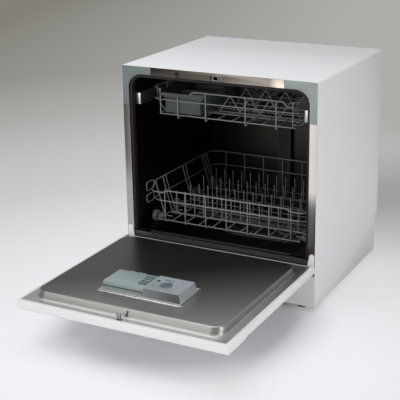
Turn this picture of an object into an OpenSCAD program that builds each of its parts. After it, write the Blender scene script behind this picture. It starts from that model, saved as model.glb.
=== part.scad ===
// Countertop dishwasher with a drop-down door, two wire racks and two spray arms.
// The origin is on the table under the middle of the cabinet, the door faces -Y and +X is to the right.
// The door is drawn open and both racks are drawn pushed in.

/* [Cabinet] */
// Width of the cabinet
cab_w = 550; // [540:1:580]
// Depth of the cabinet without the door
cab_d = 478; // [470:1:500]
// Height of the cabinet above its feet
cab_h = 585; // [580:1:610]
// Height of the feet
foot_h = 10; // [8:1:16]
// Thickness of the outer steel sheet
sheet_t = 1; // [0.8:0.1:1.4]
// Bend radius of the top edges
wrap_r = 5; // [3:0.5:8]
// Height of the recessed lower part of the back
step_h = 101; // [90:1:110]
// Depth of the recessed lower part of the back
step_d = 18; // [14:1:20]

/* [Front opening] */
// Width of the opening in the front frame
open_w = 510; // [506:1:514]
// Distance from the cabinet's top to the opening
open_drop = 22; // [20:1:26]
// Radius of the opening's upper corners
open_r = 38; // [30:1:44]
// Length of a corner cover along the top
cover_len = 86; // [70:1:100]
// Length of a corner cover down the side
cover_drop = 104; // [90:1:120]
// Step from the opening in to the tub wall, filled by the door seal
seal_step = 8; // [7:0.5:10]
// Depth of the frame's lip into the cabinet
lip_d = 19; // [17:1:22]

/* [Tub] */
// Thickness of the tub's sheet
tub_t = 1; // [0.8:0.1:1.2]
// Depth of the tub behind the frame's lip
tub_d = 426; // [420:1:430]
// Height of the wheel ledges over the table
ledge_z = 146; // [144:1:150]
// Width of each wheel ledge
ledge_w = 34; // [30:1:36]
// Height of the tub floor's middle over the table
floor_z = 112; // [110:1:116]

/* [Door] */
// Thickness of the door at its edge
door_t = 22; // [21:1:26]
// Distance of the hinge pins ahead of the cabinet's front
hinge_ahead = 15; // [14:0.5:16]
// Height of the hinge pins over the table
hinge_z = 113.5; // [113:0.5:115]
// Gap between the door and the frame
door_gap = 0.5; // [0.4:0.1:1]
// Distance of the closed door's edge below the cabinet's top
door_top_gap = 2; // [1:0.5:4]
// Depth of the control panel along the door
panel_len = 107; // [100:1:115]
// Height of the liner's raised middle over its rim
plateau_h = 18; // [17:0.5:19]
// Width of the liner's raised middle at its foot
plateau_w = 492; // [486:1:494]
// Width of the white border round the liner
border_w = 5.5; // [4:0.5:7]

/* [Dispenser] */
// Width of the dispenser's top
disp_w = 200; // [190:1:210]
// Length of the dispenser's top along the door
disp_len = 80; // [76:1:84]
// Height of the dispenser over the liner
disp_h = 22; // [18:1:24]
// Distance of the dispenser's middle from the cabinet's front
disp_at = 346; // [344:1:350]
// Width of the detergent lid
lid_w = 108; // [100:1:112]
// Depth of the detergent chamber
chamber_d = 28; // [20:1:30]
// Radius of the rinse-aid cap
cap_r = 15; // [12:0.5:17]

/* [Racks] */
// Diameter of a rack's top rail
rail_d = 4.4; // [4:0.2:5]
// Diameter of the other rack wires
wire_d = 3.6; // [3:0.2:4]
// Distance of both racks behind the cabinet's front, pushed in
rack_in = 49; // [48:1:52]
// Depth of both racks
rack_len = 378; // [370:1:380]
// Radius of the racks' upper corners
rack_r = 30; // [24:1:36]
// Half width of the lower rack at its top rail
low_half = 238; // [232:1:240]
// Half width of the lower rack at its foot
low_foot = 210; // [208:2:212]
// Radius of a lower rack wheel
low_wheel_r = 15.7; // [15:0.1:15.8]
// Spacing of the lower rack's wheels
low_pitch = 114.5; // [110:0.5:115]
// Half width of the upper rack at its top rail
up_half = 222; // [216:1:224]
// Half width of the upper rack at its foot
up_foot = 195; // [192:1:198]
// Height of the upper rack's floor over the table
up_floor_z = 460.6; // [458:0.2:464]
// Radius of an upper rack wheel
up_wheel_r = 13; // [11:0.5:14]

/* [Spray arms] */
// Length of a spray arm from its hub to its tip
arm_len = 188; // [170:1:190]
// Width of a spray arm
arm_w = 44; // [38:1:50]
// Thickness of a spray arm
arm_t = 12; // [10:0.5:14]

/* [Hidden] */
$fn = 48;

// Clearance between pieces that are assembled by hand
fit = 0.3;
// Clearance of a turning pin in its bore, measured on the radius
run = 0.06;

// The cabinet's own planes
front_y = -cab_d / 2;
back_y = cab_d / 2;
top_z = foot_h + cab_h;
half_w = cab_w / 2;
in_half = half_w - sheet_t;
low_back_y = back_y - step_d;
step_z = foot_h + step_h;
step_chamfer = 7;

// The opening and the tub behind it
open_half = open_w / 2;
open_z = top_z - open_drop;
sill_z = ledge_z - 6;
tub_half = open_half - seal_step;
tub_z = open_z - seal_step;
tub_r = open_r - seal_step;
tub_y = front_y + lip_d + sheet_t;
tub_back_y = tub_y + tub_d;
wall_foot_z = ledge_z + 14;
frame_t = 1;

// The hinge and the door's planes, with the door open
hinge_y = front_y - hinge_ahead;
pin_r = 4;
flange_z = hinge_z + hinge_ahead - door_gap;
outer_z = flange_z - door_t;
near_y = front_y - door_gap;
far_y = hinge_y - (top_z - door_top_gap - hinge_z);
nose_r = hinge_ahead - door_gap;
door_half = half_w - 0.5;
seam_y = far_y + panel_len;
skin_t = 1;
liner_t = 1;
plateau_z = flange_z + plateau_h;
plateau_near = hinge_y - (ledge_z + 3 - hinge_z);
plateau_far = far_y + 30;
plateau_half = plateau_w / 2;
plateau_slope = 5;
plateau_r = 30;
liner_half = door_half - border_w;
liner_far = far_y + border_w + 3;
arm_x = 265;
arm_r = 5.5;
arm_plate_t = 3;
notch_half = 6;

// The dispenser's places on the door
disp_y = front_y - disp_at;
disp_near = disp_y + disp_len / 2;
disp_far = disp_y - disp_len / 2;
disp_x = -2;
disp_left = disp_x - disp_w / 2;
disp_right = disp_x + disp_w / 2;
disp_draft = 5;
disp_rim = 9;
disp_z = plateau_z + disp_h;
lid_t = 3;
lid_skirt = 10;
lid_right = disp_left + lid_w;
lid_axis_y = disp_near - 3.2;
lid_axis_z = disp_z - 3.5;
lid_knuckles = [disp_left + 37, disp_left + 59];
cap_x = disp_right - 50;
cap_y = disp_y - 6;
catch_x = lid_right + 14;
catch_y = disp_far + 22;
lens_x = lid_right + 12;
lens_y = disp_near - 28;
lens_r = 4;

// The racks' planes
rack_y = front_y + rack_in;
rack_end = rack_y + rack_len;
low_floor_z = ledge_z + 14.6;
low_top_z = ledge_z + 112;
low_front_z = ledge_z + 102;
low_mid_z = ledge_z + 72;
low_axle_z = ledge_z + low_wheel_r + fit;
low_wheel_y = rack_y + 29;
low_wheel_x = 229;
low_wheel_w = 11;
axle_r = 3;
up_top_z = up_floor_z + 67.4;
up_front_z = up_floor_z + 55.4;
up_mid_z = up_floor_z + 42.4;
up_axle_z = up_mid_z + 1;
up_wheel_y = [48, 140];
up_wheel_x = 239;
up_wheel_w = 6;
rail_t = 1.5;
rail_depth = 14;

// The spray arms' planes
low_arm_z = floor_z + 10;
up_arm_z = up_floor_z - 32;
spigot_r = 10;
up_hub_r = 7;
feed_w = 22;
feed_t = 13;

// Fittings on the recessed part of the back
inlet_x = -190;
inlet_z = 62;
inlet_r = 13.2;
drain_x = -130;
drain_r = 10;
gland_x = 200;
gland_r = 8;
fitting_len = 15;

// ---------------------------------------------------------------- helpers

// A box between two corners
module block(x0, x1, y0, y1, z0, z1) translate([x0, y0, z0]) cube([x1 - x0, y1 - y0, z1 - z0]);

// A front-view outline carried along Y
module along_y(y0, len) translate([0, y0 + len, 0]) rotate([90, 0, 0]) linear_extrude(len) children();

// A side-view outline carried along X
module along_x(x0, len) translate([x0, 0, 0]) rotate([90, 0, 90]) linear_extrude(len) children();

module both_sides() {
    children();
    mirror([1, 0, 0]) children();
}

// A flat rectangle with round corners, about its middle
module rounded(w, d, r) {
    square([w - 2 * r, d], center = true);
    square([w, d - 2 * r], center = true);
    for (sx = [-1, 1], sy = [-1, 1]) translate([sx * (w / 2 - r), sy * (d / 2 - r)]) circle(r);
}

// A doorway's outline, square at the foot and round at the top corners
module arch(half, z0, z1, r) {
    translate([-half, z0]) square([2 * half, z1 - r - z0]);
    translate([-half + r, z0]) square([2 * (half - r), z1 - z0]);
    for (s = [-1, 1]) translate([s * (half - r), z1 - r]) circle(r);
}

// A round bar along X, Y or Z
module bar_x(x0, x1, y, z, r) translate([x0, y, z]) rotate([0, 90, 0]) cylinder(h = x1 - x0, r = r);
module bar_y(x, y0, y1, z, r) translate([x, y1, z]) rotate([90, 0, 0]) cylinder(h = y1 - y0, r = r);
module bar_z(x, y, z0, z1, r) translate([x, y, z0]) cylinder(h = z1 - z0, r = r);

// A straight eight-sided wire, its flats facing the axes; e0 and e1 lengthen its ends
module wire(a, b, d, e0 = 0, e1 = 0) {
    v = b - a;
    l = norm(v);
    translate(a - v / l * e0) rotate([0, acos(v[2] / l), atan2(v[1], v[0])]) rotate([0, 0, 22.5])
        cylinder(h = l + e0 + e1, r = d / 2 / cos(22.5), $fn = 8);
}

// How far a wire's end runs on to fill the outside of a bend, and a little more
function turn(a, b, c, d) = let (u = (b - a) / norm(b - a), v = (c - b) / norm(c - b))
    1.05 * d / 2 * tan(acos(min(1, u * v)) / 2);

// A bent wire through a row of points
module bent(p, d) for (i = [0:len(p) - 2])
    wire(p[i], p[i + 1], d,
        i == 0 ? 0 : turn(p[i - 1], p[i], p[i + 1], d),
        i == len(p) - 2 ? 0 : turn(p[i], p[i + 1], p[i + 2], d));

// Points on a corner from the front rail's end round to a side rail, rising from z0 to z1
function corner(cx, cy, r, z0, z1, from, to, n = 4) =
    [for (i = [0:n]) let (a = from + (to - from) * i / n)
        [cx + r * cos(a), cy + r * sin(a), z0 + (z1 - z0) * i / n]];

// ---------------------------------------------------------------- cabinet

module wrap_outline(inset) arch(half_w - inset, foot_h - (inset > 0 ? 1 : 0), top_z - inset, wrap_r - inset);

// One folded sheet: left side, top and right side, with the recess at its lower back corner
module cabinet_wrap() color("white") {
    difference() {
        along_y(front_y, cab_d) difference() {
            wrap_outline(0);
            wrap_outline(sheet_t);
        }
        along_x(-cab_w, 2 * cab_w) polygon([
            [low_back_y, 0], [back_y + 1, 0], [back_y + 1, step_z + step_chamfer],
            [back_y, step_z + step_chamfer], [low_back_y, step_z]]);
    }
    both_sides()
        block(in_half - 12, half_w - sheet_t / 2, front_y + 1.5, low_back_y - 2, foot_h, foot_h + sheet_t);
}

// The back sheet, stepped in over the lower part, with ribs, air slots and holes for its fittings
module rear_panel() color("lightgray") {
    y1 = back_y - fit;
    half = in_half - fit;
    difference() {
        union() {
            along_x(-half, 2 * half) polygon([
                [low_back_y - sheet_t, foot_h + sheet_t], [low_back_y, foot_h + sheet_t],
                [low_back_y, step_z], [y1, step_z + step_chamfer - fit], [y1, top_z - sheet_t - fit],
                [y1 - sheet_t, top_z - sheet_t - fit], [y1 - sheet_t, step_z + step_chamfer],
                [low_back_y - sheet_t, step_z + 1]]);
            for (x = [-160, 0, 160]) along_x(x - 20, 40) polygon([
                [y1 - sheet_t / 2, 190], [y1 - 5, 195], [y1 - 5, 515], [y1 - sheet_t / 2, 520]]);
        }
        for (x = [-160, 0, 160]) along_x(x - 19, 38) polygon([
            [y1 + 1, 189], [y1 - 4, 196], [y1 - 4, 514], [y1 + 1, 521]]);
        for (i = [0:11]) block(-66 + 12 * i, -60 + 12 * i, low_back_y - 5, low_back_y + 5, 76, 96);
        bar_y(inlet_x, low_back_y - 9, low_back_y + 9, inlet_z, inlet_r + 1);
        bar_y(drain_x, low_back_y - 9, low_back_y + 9, inlet_z, drain_r + 1);
        bar_y(gland_x, low_back_y - 9, low_back_y + 9, inlet_z, gland_r);
    }
}

// White sheet under the door, folded back along its top, foot and ends
module front_plinth() color("white") {
    z0 = foot_h + sheet_t + fit;
    z1 = hinge_z - nose_r - 2.5;
    half = in_half - fit;
    difference() {
        block(-half, half, front_y, front_y + 15, z0, z1);
        block(-half + sheet_t, half - sheet_t, front_y + sheet_t, front_y + 16, z0 + sheet_t, z1 - sheet_t);
    }
}

// Drip tray that closes the bottom and carries the pumps
module base_pan() color("dimgray") {
    z0 = foot_h + sheet_t;
    half = in_half - 1;
    y0 = front_y + 17;
    y1 = low_back_y - sheet_t - 1;
    wall = 2.5;
    difference() {
        block(-half, half, y0, y1, z0, z0 + 28);
        block(-half + wall, half - wall, y0 + wall, y1 - wall, z0 + wall, z0 + 29);
    }
    for (x = [-150:75:150]) block(x - 1, x + 1, y0 + wall - 0.5, y1 - wall + 0.5, z0 + wall - 0.5, z0 + 8);
}

foot_x = 232;
foot_ys = [front_y + 32, low_back_y - 38];

// Four screw-in feet: a rubber pad, a hexagon collar and a flange under the tray
module feet() color("black") for (x = [-foot_x, foot_x], y = foot_ys) translate([x, y, 0]) {
    cylinder(h = 4, r = 17);
    cylinder(h = foot_h - 1, r = 12, $fn = 6);
    cylinder(h = foot_h + sheet_t, r = 8);
}

// ---------------------------------------------------------------- front frame and tub

strike_z = top_z - 14;
slot_half = 13;
slot_h = 14;
strike_r = 1.6;

// Polished frame round the opening, with a lip into the cabinet
module front_frame() color("silver") {
    half = in_half - fit;
    z0 = hinge_z - nose_r - 1.5;
    difference() {
        along_y(front_y, frame_t) difference() {
            translate([-half, z0]) square([2 * half, top_z - sheet_t - fit - z0]);
            arch(open_half, sill_z, open_z, open_r);
        }
        block(-slot_half, slot_half, front_y - 1, front_y + 2, strike_z - slot_h / 2, strike_z + slot_h / 2);
        both_sides() block(arm_x - 3, arm_x + 3, front_y - 1, front_y + 2, hinge_z - 9, hinge_z + 9);
        both_sides() translate([0, -0.02, 0]) cover_solid(0.02);
    }
    along_y(front_y, lip_d) difference() {
        arch(open_half + frame_t, sill_z - frame_t, open_z + frame_t, open_r + frame_t);
        arch(open_half, sill_z, open_z, open_r);
    }
}

// One upper corner of the frame's face, cut out of its outline
module cover_solid(grow) {
    half = in_half - fit;
    along_y(front_y - grow, frame_t + 2 * grow) difference() {
        intersection() {
            difference() {
                translate([-half, open_z - cover_drop])
                    square([2 * half, top_z - sheet_t - fit - open_z + cover_drop]);
                arch(open_half + frame_t, sill_z, open_z + frame_t, open_r + frame_t);
            }
            union() {
                translate([half - cover_len, open_z - open_r]) square([cover_len, open_drop + open_r]);
                translate([open_half, open_z - cover_drop + open_drop])
                    square([half - open_half, cover_drop]);
            }
        }
    }
}

// Moulded covers over the frame's upper corners
module corner_covers() color("lightslategray") both_sides() cover_solid(0);

// Tub sides and roof in one drawn sheet, with a flange behind the frame's lip
module tub_wrap() color("darkgray") {
    along_y(tub_y, tub_d) difference() {
        arch(tub_half + tub_t, wall_foot_z, tub_z + tub_t, tub_r + tub_t);
        arch(tub_half, wall_foot_z - 1, tub_z, tub_r);
    }
    along_y(tub_y - tub_t, tub_t) difference() {
        arch(open_half + frame_t, sill_z, open_z + frame_t, open_r + frame_t);
        arch(tub_half, sill_z - 1, tub_z, tub_r);
    }
}

sump_x = 44;
sump_w = 210;
sump_d = 150;

// Tub floor: a ledge for the wheels along each side, falling to the sump
module tub_base() color("darkgray") {
    toe = tub_half - ledge_w;
    slope_z = floor_z + 6;
    flat = toe - 48;
    t = tub_t;
    difference() {
        union() {
            along_y(tub_y, tub_d) polygon([
                [-tub_half, wall_foot_z], [-tub_half, ledge_z], [-toe, ledge_z], [-toe + 10, slope_z],
                [-flat, floor_z], [flat, floor_z], [toe - 10, slope_z], [toe, ledge_z],
                [tub_half, ledge_z], [tub_half, wall_foot_z], [tub_half + t, wall_foot_z],
                [tub_half + t, ledge_z - t], [toe + t, ledge_z - t], [toe - 9, slope_z - t],
                [flat, floor_z - t], [-flat, floor_z - t], [-toe + 9, slope_z - t],
                [-toe - t, ledge_z - t], [-tub_half - t, ledge_z - t], [-tub_half - t, wall_foot_z]]);
            block(-toe - t, toe + t, tub_y - t, tub_y, floor_z - t, sill_z);
            both_sides() block(toe, tub_half, front_y + frame_t, tub_y + 1, ledge_z - t, ledge_z);
        }
        translate([sump_x, 0, floor_z - 5]) linear_extrude(10) rounded(sump_w, sump_d, 30);
    }
}

// Back wall, pressed with a shallow panel
module tub_back() color("darkgray") {
    half = tub_half + tub_t;
    difference() {
        along_y(tub_back_y, tub_t + 4) arch(half, floor_z - tub_t, tub_z + tub_t, tub_r + tub_t);
        along_y(tub_back_y + tub_t, 5) difference() {
            arch(half + 1, floor_z - 5, tub_z + 5, tub_r + tub_t);
            arch(half - 40, floor_z + 60, tub_z - 40, 20);
        }
        along_y(tub_back_y - 1, 5) arch(half - 41, floor_z + 61, tub_z - 41, 19);
    }
}

// Rubber seal: an arch in the step round the opening, and a strip on the sill
module door_seal() color("black") {
    gap = 0.5;
    along_y(front_y + 3, lip_d - tub_t - 2.3) difference() {
        arch(open_half - gap, sill_z + 1, open_z - gap, open_r - gap);
        arch(tub_half + gap, sill_z, tub_z + gap, tub_r + gap);
    }
    along_x(-204, 408) polygon([
        [front_y + 5, sill_z], [front_y + 16, sill_z], [front_y + 16, sill_z + 2],
        [front_y + 9, sill_z + 5], [front_y + 5, sill_z + 3]]);
}

// Lock housing behind the slot, with the bar that the door's hook catches
module door_lock() color("dimgray") {
    y0 = front_y + frame_t;
    z0 = open_z + frame_t;
    z1 = top_z - sheet_t - 0.5;
    difference() {
        block(-45, 45, y0, y0 + 18, z0, z1);
        block(-slot_half, slot_half, y0 - 1, y0 + 15.5, z0 + 1, z1 - 1.2);
    }
    bar_x(-slot_half - 1, slot_half + 1, y0 + 5, strike_z + 4, strike_r);
}

// ---------------------------------------------------------------- works under the tub

filter_x = 104;
filter_r = 34;
cup_r = 31;
drain_seat_x = filter_x + filter_r + 10;
drain_pump_z = 62;
pan_floor_z = foot_h + sheet_t + 2.5;

// Sump bowl with its rim under the tub floor, the riser and the seat for the lower arm
module sump() color("dimgray") {
    z1 = floor_z - tub_t;
    difference() {
        union() {
            translate([sump_x, 0, z1 - 3]) linear_extrude(3) rounded(sump_w + 24, sump_d + 24, 40);
            translate([sump_x, 0, z1 - 26]) linear_extrude(26) rounded(sump_w + 6, sump_d + 6, 33);
            bar_z(filter_x, 0, z1 - 66, z1 - 20, filter_r + 8);
            block(filter_x, drain_seat_x, -16, 16, drain_pump_z - 14, drain_pump_z + 14);
        }
        translate([sump_x, 0, z1 - 23]) linear_extrude(30) rounded(sump_w, sump_d, 30);
        bar_z(filter_x, 0, z1 - 62, z1 - 20, filter_r + 4);
    }
    bar_z(0, 0, z1 - 24, low_arm_z - 1, spigot_r + 4);
    bar_z(0, 0, z1 - 24, low_arm_z + 9, spigot_r);
}

// Perforated steel filter over the sump, with holes for the riser and the cup
module filter_plate() color("silver") {
    difference() {
        translate([sump_x, 0, floor_z]) linear_extrude(1.2) rounded(sump_w + 14, sump_d + 14, 36);
        bar_z(0, 0, floor_z - 1, floor_z + 3, spigot_r + 5);
        bar_z(filter_x, 0, floor_z - 1, floor_z + 3, cup_r + 1);
        for (x = [-45:15:60], y = [-60:15:60])
            if (norm([x, y]) > spigot_r + 12 && norm([x - filter_x, y]) > cup_r + 9)
                translate([x, y, floor_z - 1]) cylinder(h = 4, r = 3.5, $fn = 6);
    }
}

// Filter cup that twists out by its grip
module filter_cup() color("gray") translate([filter_x, 0, 0]) {
    difference() {
        union() {
            cylinder(h = floor_z + 4, r = cup_r);
            translate([0, 0, floor_z + 1.5]) cylinder(h = 2.5, r = cup_r + 4);
        }
        translate([0, 0, -1]) cylinder(h = floor_z - 52 + 1, r = cup_r + 1);
        translate([0, 0, floor_z - 49]) cylinder(h = 60, r = cup_r - 2);
        for (a = [0:30:330]) rotate(a) translate([0, -2, floor_z - 42]) cube([cup_r + 5, 4, 34]);
    }
    translate([-cup_r + 1, -1.5, floor_z - 6]) cube([2 * cup_r - 2, 3, 13]);
}

// Circulation pump with its heater ring, lying on the tray and feeding the sump
module circulation_pump() color("gray") {
    x = -70;
    z = 62;
    wall_x = sump_x - sump_w / 2 - 3;
    bar_x(x - 130, x - 40, 70, z, 34);
    bar_x(x - 40, x + 4, 70, z, 40);
    bar_x(x - 137, x - 130, 70, z, 24);
    for (dx = [-120, -60]) block(x + dx, x + dx + 14, 46, 94, pan_floor_z, z - 20);
    bar_z(x - 20, 34, z, z + 26, 11);
    bar_x(x - 20, wall_x, 34, z + 30, 11);
}

// Drain pump on the side of the sump
module drain_pump() color("gray") {
    x0 = drain_seat_x;
    bar_x(x0, x0 + 14, 0, drain_pump_z, 20);
    bar_x(x0 + 14, x0 + 58, 0, drain_pump_z, 24);
    block(x0 + 20, x0 + 50, -12, 12, pan_floor_z, drain_pump_z - 12);
}

// Water inlet valve with its threaded stub through the back
module inlet_valve() color("white") {
    y = low_back_y;
    bar_y(inlet_x, y - 52, y - 10, inlet_z, 13);
    bar_y(inlet_x, y - 10, y - sheet_t, inlet_z, inlet_r + 4);
    bar_y(inlet_x, y - sheet_t - 1, y + fitting_len, inlet_z, inlet_r);
    block(inlet_x - 14, inlet_x + 14, y - 50, y - 22, inlet_z, inlet_z + 30);
    block(inlet_x - 10, inlet_x + 10, y - 46, y - 16, pan_floor_z, inlet_z);
}

// Drain spigot through the back
module drain_spigot() color("gray") {
    y = low_back_y;
    difference() {
        union() {
            bar_y(drain_x, y - 40, y + fitting_len, inlet_z, drain_r);
            bar_y(drain_x, y - 5, y - sheet_t, inlet_z, drain_r + 5);
        }
        bar_y(drain_x, y - 30, y + fitting_len + 1, inlet_z, drain_r - 2);
    }
    block(drain_x - 7, drain_x + 7, y - 39, y - 20, pan_floor_z, inlet_z - drain_r + 1);
}

// Gland for the mains lead
module cord_gland() color("black") {
    y = low_back_y;
    difference() {
        union() {
            bar_y(gland_x, y - sheet_t - 6, y - sheet_t, inlet_z, gland_r + 3);
            bar_y(gland_x, y - sheet_t - 1, y + 0.5, inlet_z, gland_r - fit);
            bar_y(gland_x, y, y + 9, inlet_z, gland_r + 2);
        }
        bar_y(gland_x, y - 9, y + 10, inlet_z, 4.2);
    }
}

// Air-break tank between the left tub wall and the cabinet
module air_break() color("white") {
    x0 = -in_half + 1;
    x1 = -tub_half - tub_t - fit;
    block(x0, x1, -120, 110, 170, 470);
    for (z = [210:52:418]) block(x0 - 0.7, x0 + 1, -110, 100, z, z + 20);
    bar_z((x0 + x1) / 2, 80, 120, 171, 7);
}

// Water-level switch on the tray
module pressure_switch() color("white") {
    bar_z(205, -120, pan_floor_z, 60, 20);
    bar_z(205, -120, 59, 72, 6);
}

// Water pipe up the tub's back wall to the upper rack
module upper_feed_pipe() color("gray") {
    y1 = tub_back_y;
    z1 = up_floor_z - 3;
    block(-20, 20, y1 - 12, y1, floor_z, z1);
    bar_y(0, y1 - 17, y1 - 11, up_floor_z - 13, 10);
}

// Track for the upper wheels on each tub wall, open towards the rack and shut at its front end
module upper_rails() color("silver") both_sides() {
    x0 = tub_half - rail_depth;
    y0 = tub_y + 1;
    y1 = tub_back_y - 7;
    h = up_wheel_r + 0.5;
    difference() {
        block(x0, tub_half, y0, y1, up_axle_z - h - rail_t, up_axle_z + h + rail_t);
        block(x0 - 1, tub_half - rail_t, y0 + rail_t, y1 + 1, up_axle_z - h, up_axle_z + h);
    }
}

// ---------------------------------------------------------------- hinge and door

// Steel arms from the cabinet, each with the pin that the door turns on
module hinge_brackets() color("silver") both_sides() {
    x0 = arm_x - arm_plate_t / 2;
    x1 = arm_x + arm_plate_t / 2;
    block(x0, x1, hinge_y, front_y + 46, hinge_z - arm_r, hinge_z + arm_r);
    bar_x(x0, x1, hinge_y, hinge_z, arm_r);
    bar_x(arm_x - 14, arm_x, hinge_y, hinge_z, pin_r);
    block(x0, x1, front_y + frame_t, front_y + 46, hinge_z - 14, hinge_z + arm_r);
}

// The space that a hinge arm sweeps through in the door
module hinge_notch() both_sides()
    block(arm_x - 5, arm_x + 4, hinge_y - arm_r - 1, near_y + 1, outer_z + skin_t + 0.3, flange_z + 1);

// A side view of the door's near end: flat inside, round about the hinge pin
module nose(inset) {
    translate([hinge_y, hinge_z]) circle(nose_r - inset);
    translate([seam_y - 1, outer_z + inset])
        square([hinge_y - seam_y + 1 + nose_r - inset, hinge_z - outer_z - inset]);
    translate([seam_y - 1, outer_z + inset]) square([hinge_y - seam_y + 1, door_t - 2 * inset]);
}

// White outer skin: a shallow tray, rolled round at the hinge end
module door_skin() color("white") {
    half = door_half;
    difference() {
        intersection() {
            along_x(-half, 2 * half) nose(0);
            block(-half, half, seam_y + 0.3, near_y + 1, outer_z, flange_z + 1);
        }
        intersection() {
            along_x(-half + skin_t, 2 * (half - skin_t)) nose(skin_t);
            block(-half, half, seam_y - 1, near_y + 1, outer_z, flange_z + 1);
        }
        block(-liner_half, liner_half, seam_y - 1, hinge_y, flange_z - skin_t - 1, flange_z + 1);
        hinge_notch();
    }
}

// Raised middle of the liner, its walls leaning in, between two insets
module plateau(inset, z0) {
    x = plateau_half - inset;
    s = plateau_slope;
    y0 = plateau_far + inset;
    y1 = plateau_near - inset;
    z1 = plateau_z - inset;
    intersection() {
        along_y(y0 - 1, y1 - y0 + 2) polygon([[-x, z0], [x, z0], [x - s, z1], [-x + s, z1]]);
        along_x(-x - 1, 2 * x + 2) polygon([[y0, z0], [y1, z0], [y1 - s, z1], [y0 + s, z1]]);
        translate([0, (y0 + y1) / 2, z0]) linear_extrude(z1 - z0) rounded(2 * x, y1 - y0, plateau_r - inset);
    }
}

notch_half_w = 16;

// Stainless liner: a flat rim, the raised middle, and a notch for the hook
module door_liner() color("silver") {
    difference() {
        union() {
            block(-liner_half, liner_half, liner_far, hinge_y, flange_z - liner_t, flange_z);
            plateau(0, flange_z - liner_t);
        }
        plateau(liner_t, flange_z - 2 * liner_t);
        block(disp_left - disp_draft, disp_right + disp_draft, disp_far - disp_draft, disp_near + disp_draft,
            flange_z - 2, plateau_z + 1);
        block(-notch_half_w, notch_half_w, liner_far - 1, liner_far + 18, flange_z - 2, flange_z + 1);
        hinge_notch();
    }
}

// Steel leaves in the door, bored for the hinge pins
module hinge_leaves() color("silver") both_sides() {
    x0 = arm_x - 12;
    difference() {
        union() {
            block(x0, x0 + 5, hinge_y - 90, hinge_y, outer_z + skin_t, hinge_z + 6);
            bar_x(x0, x0 + 5, hinge_y, hinge_z, 6);
            block(x0 - 14, x0 + 5, hinge_y - 90, hinge_y - 14, outer_z + skin_t, outer_z + skin_t + 2);
        }
        bar_x(x0 - 1, x0 + 6, hinge_y, hinge_z, pin_r + run);
    }
}

// Places on the control panel, with the door open: its face is underneath
panel_z = outer_z - 4;
face_y = (far_y + seam_y) / 2;
button_y = far_y + 30;
button_xs = [60, 100, 140, 180];
button_r = 7;
button_travel = 1.5;
display_x = -72;
display_w = 92;
display_l = 26;
grip_y0 = seam_y - 44;
grip_y1 = seam_y - 14;
grip_half = 62;
paddle_y = grip_y0 + 5;
paddle_z = panel_z + 12.5;
hook_y = far_y + 21;
hook_z = outer_z + 13;
hook_top = flange_z + 14;
shank_y = hinge_y - (strike_z - hinge_z);
grip_depth = 17.5;

// A side view of the control panel, its face bowed out
module panel_side(inset) {
    y0 = far_y + inset;
    y1 = seam_y - (inset > 0 ? -1 : 0);
    polygon([[y0, outer_z + 2 + inset], [y0 + 7, panel_z + inset + 0.6], [y0 + 16, panel_z + inset],
        [seam_y - 24, panel_z + inset], [seam_y - 8, outer_z - 1 + inset], [y1, outer_z + inset],
        [y1, flange_z - inset], [y0, flange_z - inset]]);
}

// Moulded control panel at the door's upper end, with its grip pocket and openings
module control_panel() color("white") {
    t = 2.5;
    half = door_half;
    difference() {
        union() {
            difference() {
                along_x(-half, 2 * half) panel_side(0);
                along_x(-half + t, 2 * (half - t)) panel_side(t);
            }
            block(-grip_half - t, grip_half + t, grip_y0 - t, grip_y1 + t, panel_z + 1,
                panel_z + grip_depth + t);
        }
        block(-grip_half, grip_half, grip_y0, grip_y1, panel_z - 1, panel_z + grip_depth);
        bar_x(-grip_half - t + 0.3, grip_half + t - 0.3, paddle_y, paddle_z, 2 + run);
        block(-liner_half, liner_half, liner_far, seam_y + 1, flange_z - liner_t, flange_z + 1);
        block(-liner_half + 8, liner_half - 8, liner_far + 6, seam_y + 1, flange_z - t - 1, flange_z + 1);
        block(display_x - display_w / 2, display_x + display_w / 2, button_y - display_l / 2,
            button_y + display_l / 2, panel_z - 1, panel_z + t + 1);
        for (x = button_xs) bar_z(x, button_y, panel_z - 1, panel_z + t + 1, button_r + fit);
        block(-notch_half_w, notch_half_w, liner_far - 5, liner_far + 18, flange_z - 10, flange_z + 1);
    }
    both_sides() difference() {
        block(notch_half_w + 2, notch_half_w + 5, hook_y - 5, hook_y + 5, panel_z + t - 1, hook_z + 5);
        bar_x(notch_half_w, notch_half_w + 7, hook_y, hook_z, 2 + run);
    }
}

// Circuit board on posts behind the buttons
module control_board() color("darkgreen") {
    z0 = panel_z + 12;
    block(-120, -30, button_y - 20, button_y + 25, z0, z0 + 1.6);
    block(48, 205, button_y - 20, button_y + 25, z0, z0 + 1.6);
    for (x = [-112, -40, 52, 200], y = [button_y - 16, button_y + 21])
        bar_z(x, y, panel_z + (y < button_y ? 3 : 2.5), z0 + 0.5, 2);
}

// Dark window in the panel's face
module display_window() color("black")
    block(display_x - display_w / 2 + fit, display_x + display_w / 2 - fit, button_y - display_l / 2 + fit,
        button_y + display_l / 2 - fit, panel_z + 0.2, panel_z + 2.5);

// A push button: a cap in the panel's hole, a collar behind it and a stem towards the board
module button(x) color("silver") translate([x, button_y, 0]) {
    bar_z(0, 0, panel_z - 1.5, panel_z + 5, button_r);
    bar_z(0, 0, panel_z + 2.5 + fit, panel_z + 5, button_r + 2);
    bar_z(0, 0, panel_z + 4, panel_z + 12 - button_travel - fit, 2);
}
module button_1() button(button_xs[0]);
module button_2() button(button_xs[1]);
module button_3() button(button_xs[2]);
module button_4() button(button_xs[3]);

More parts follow.
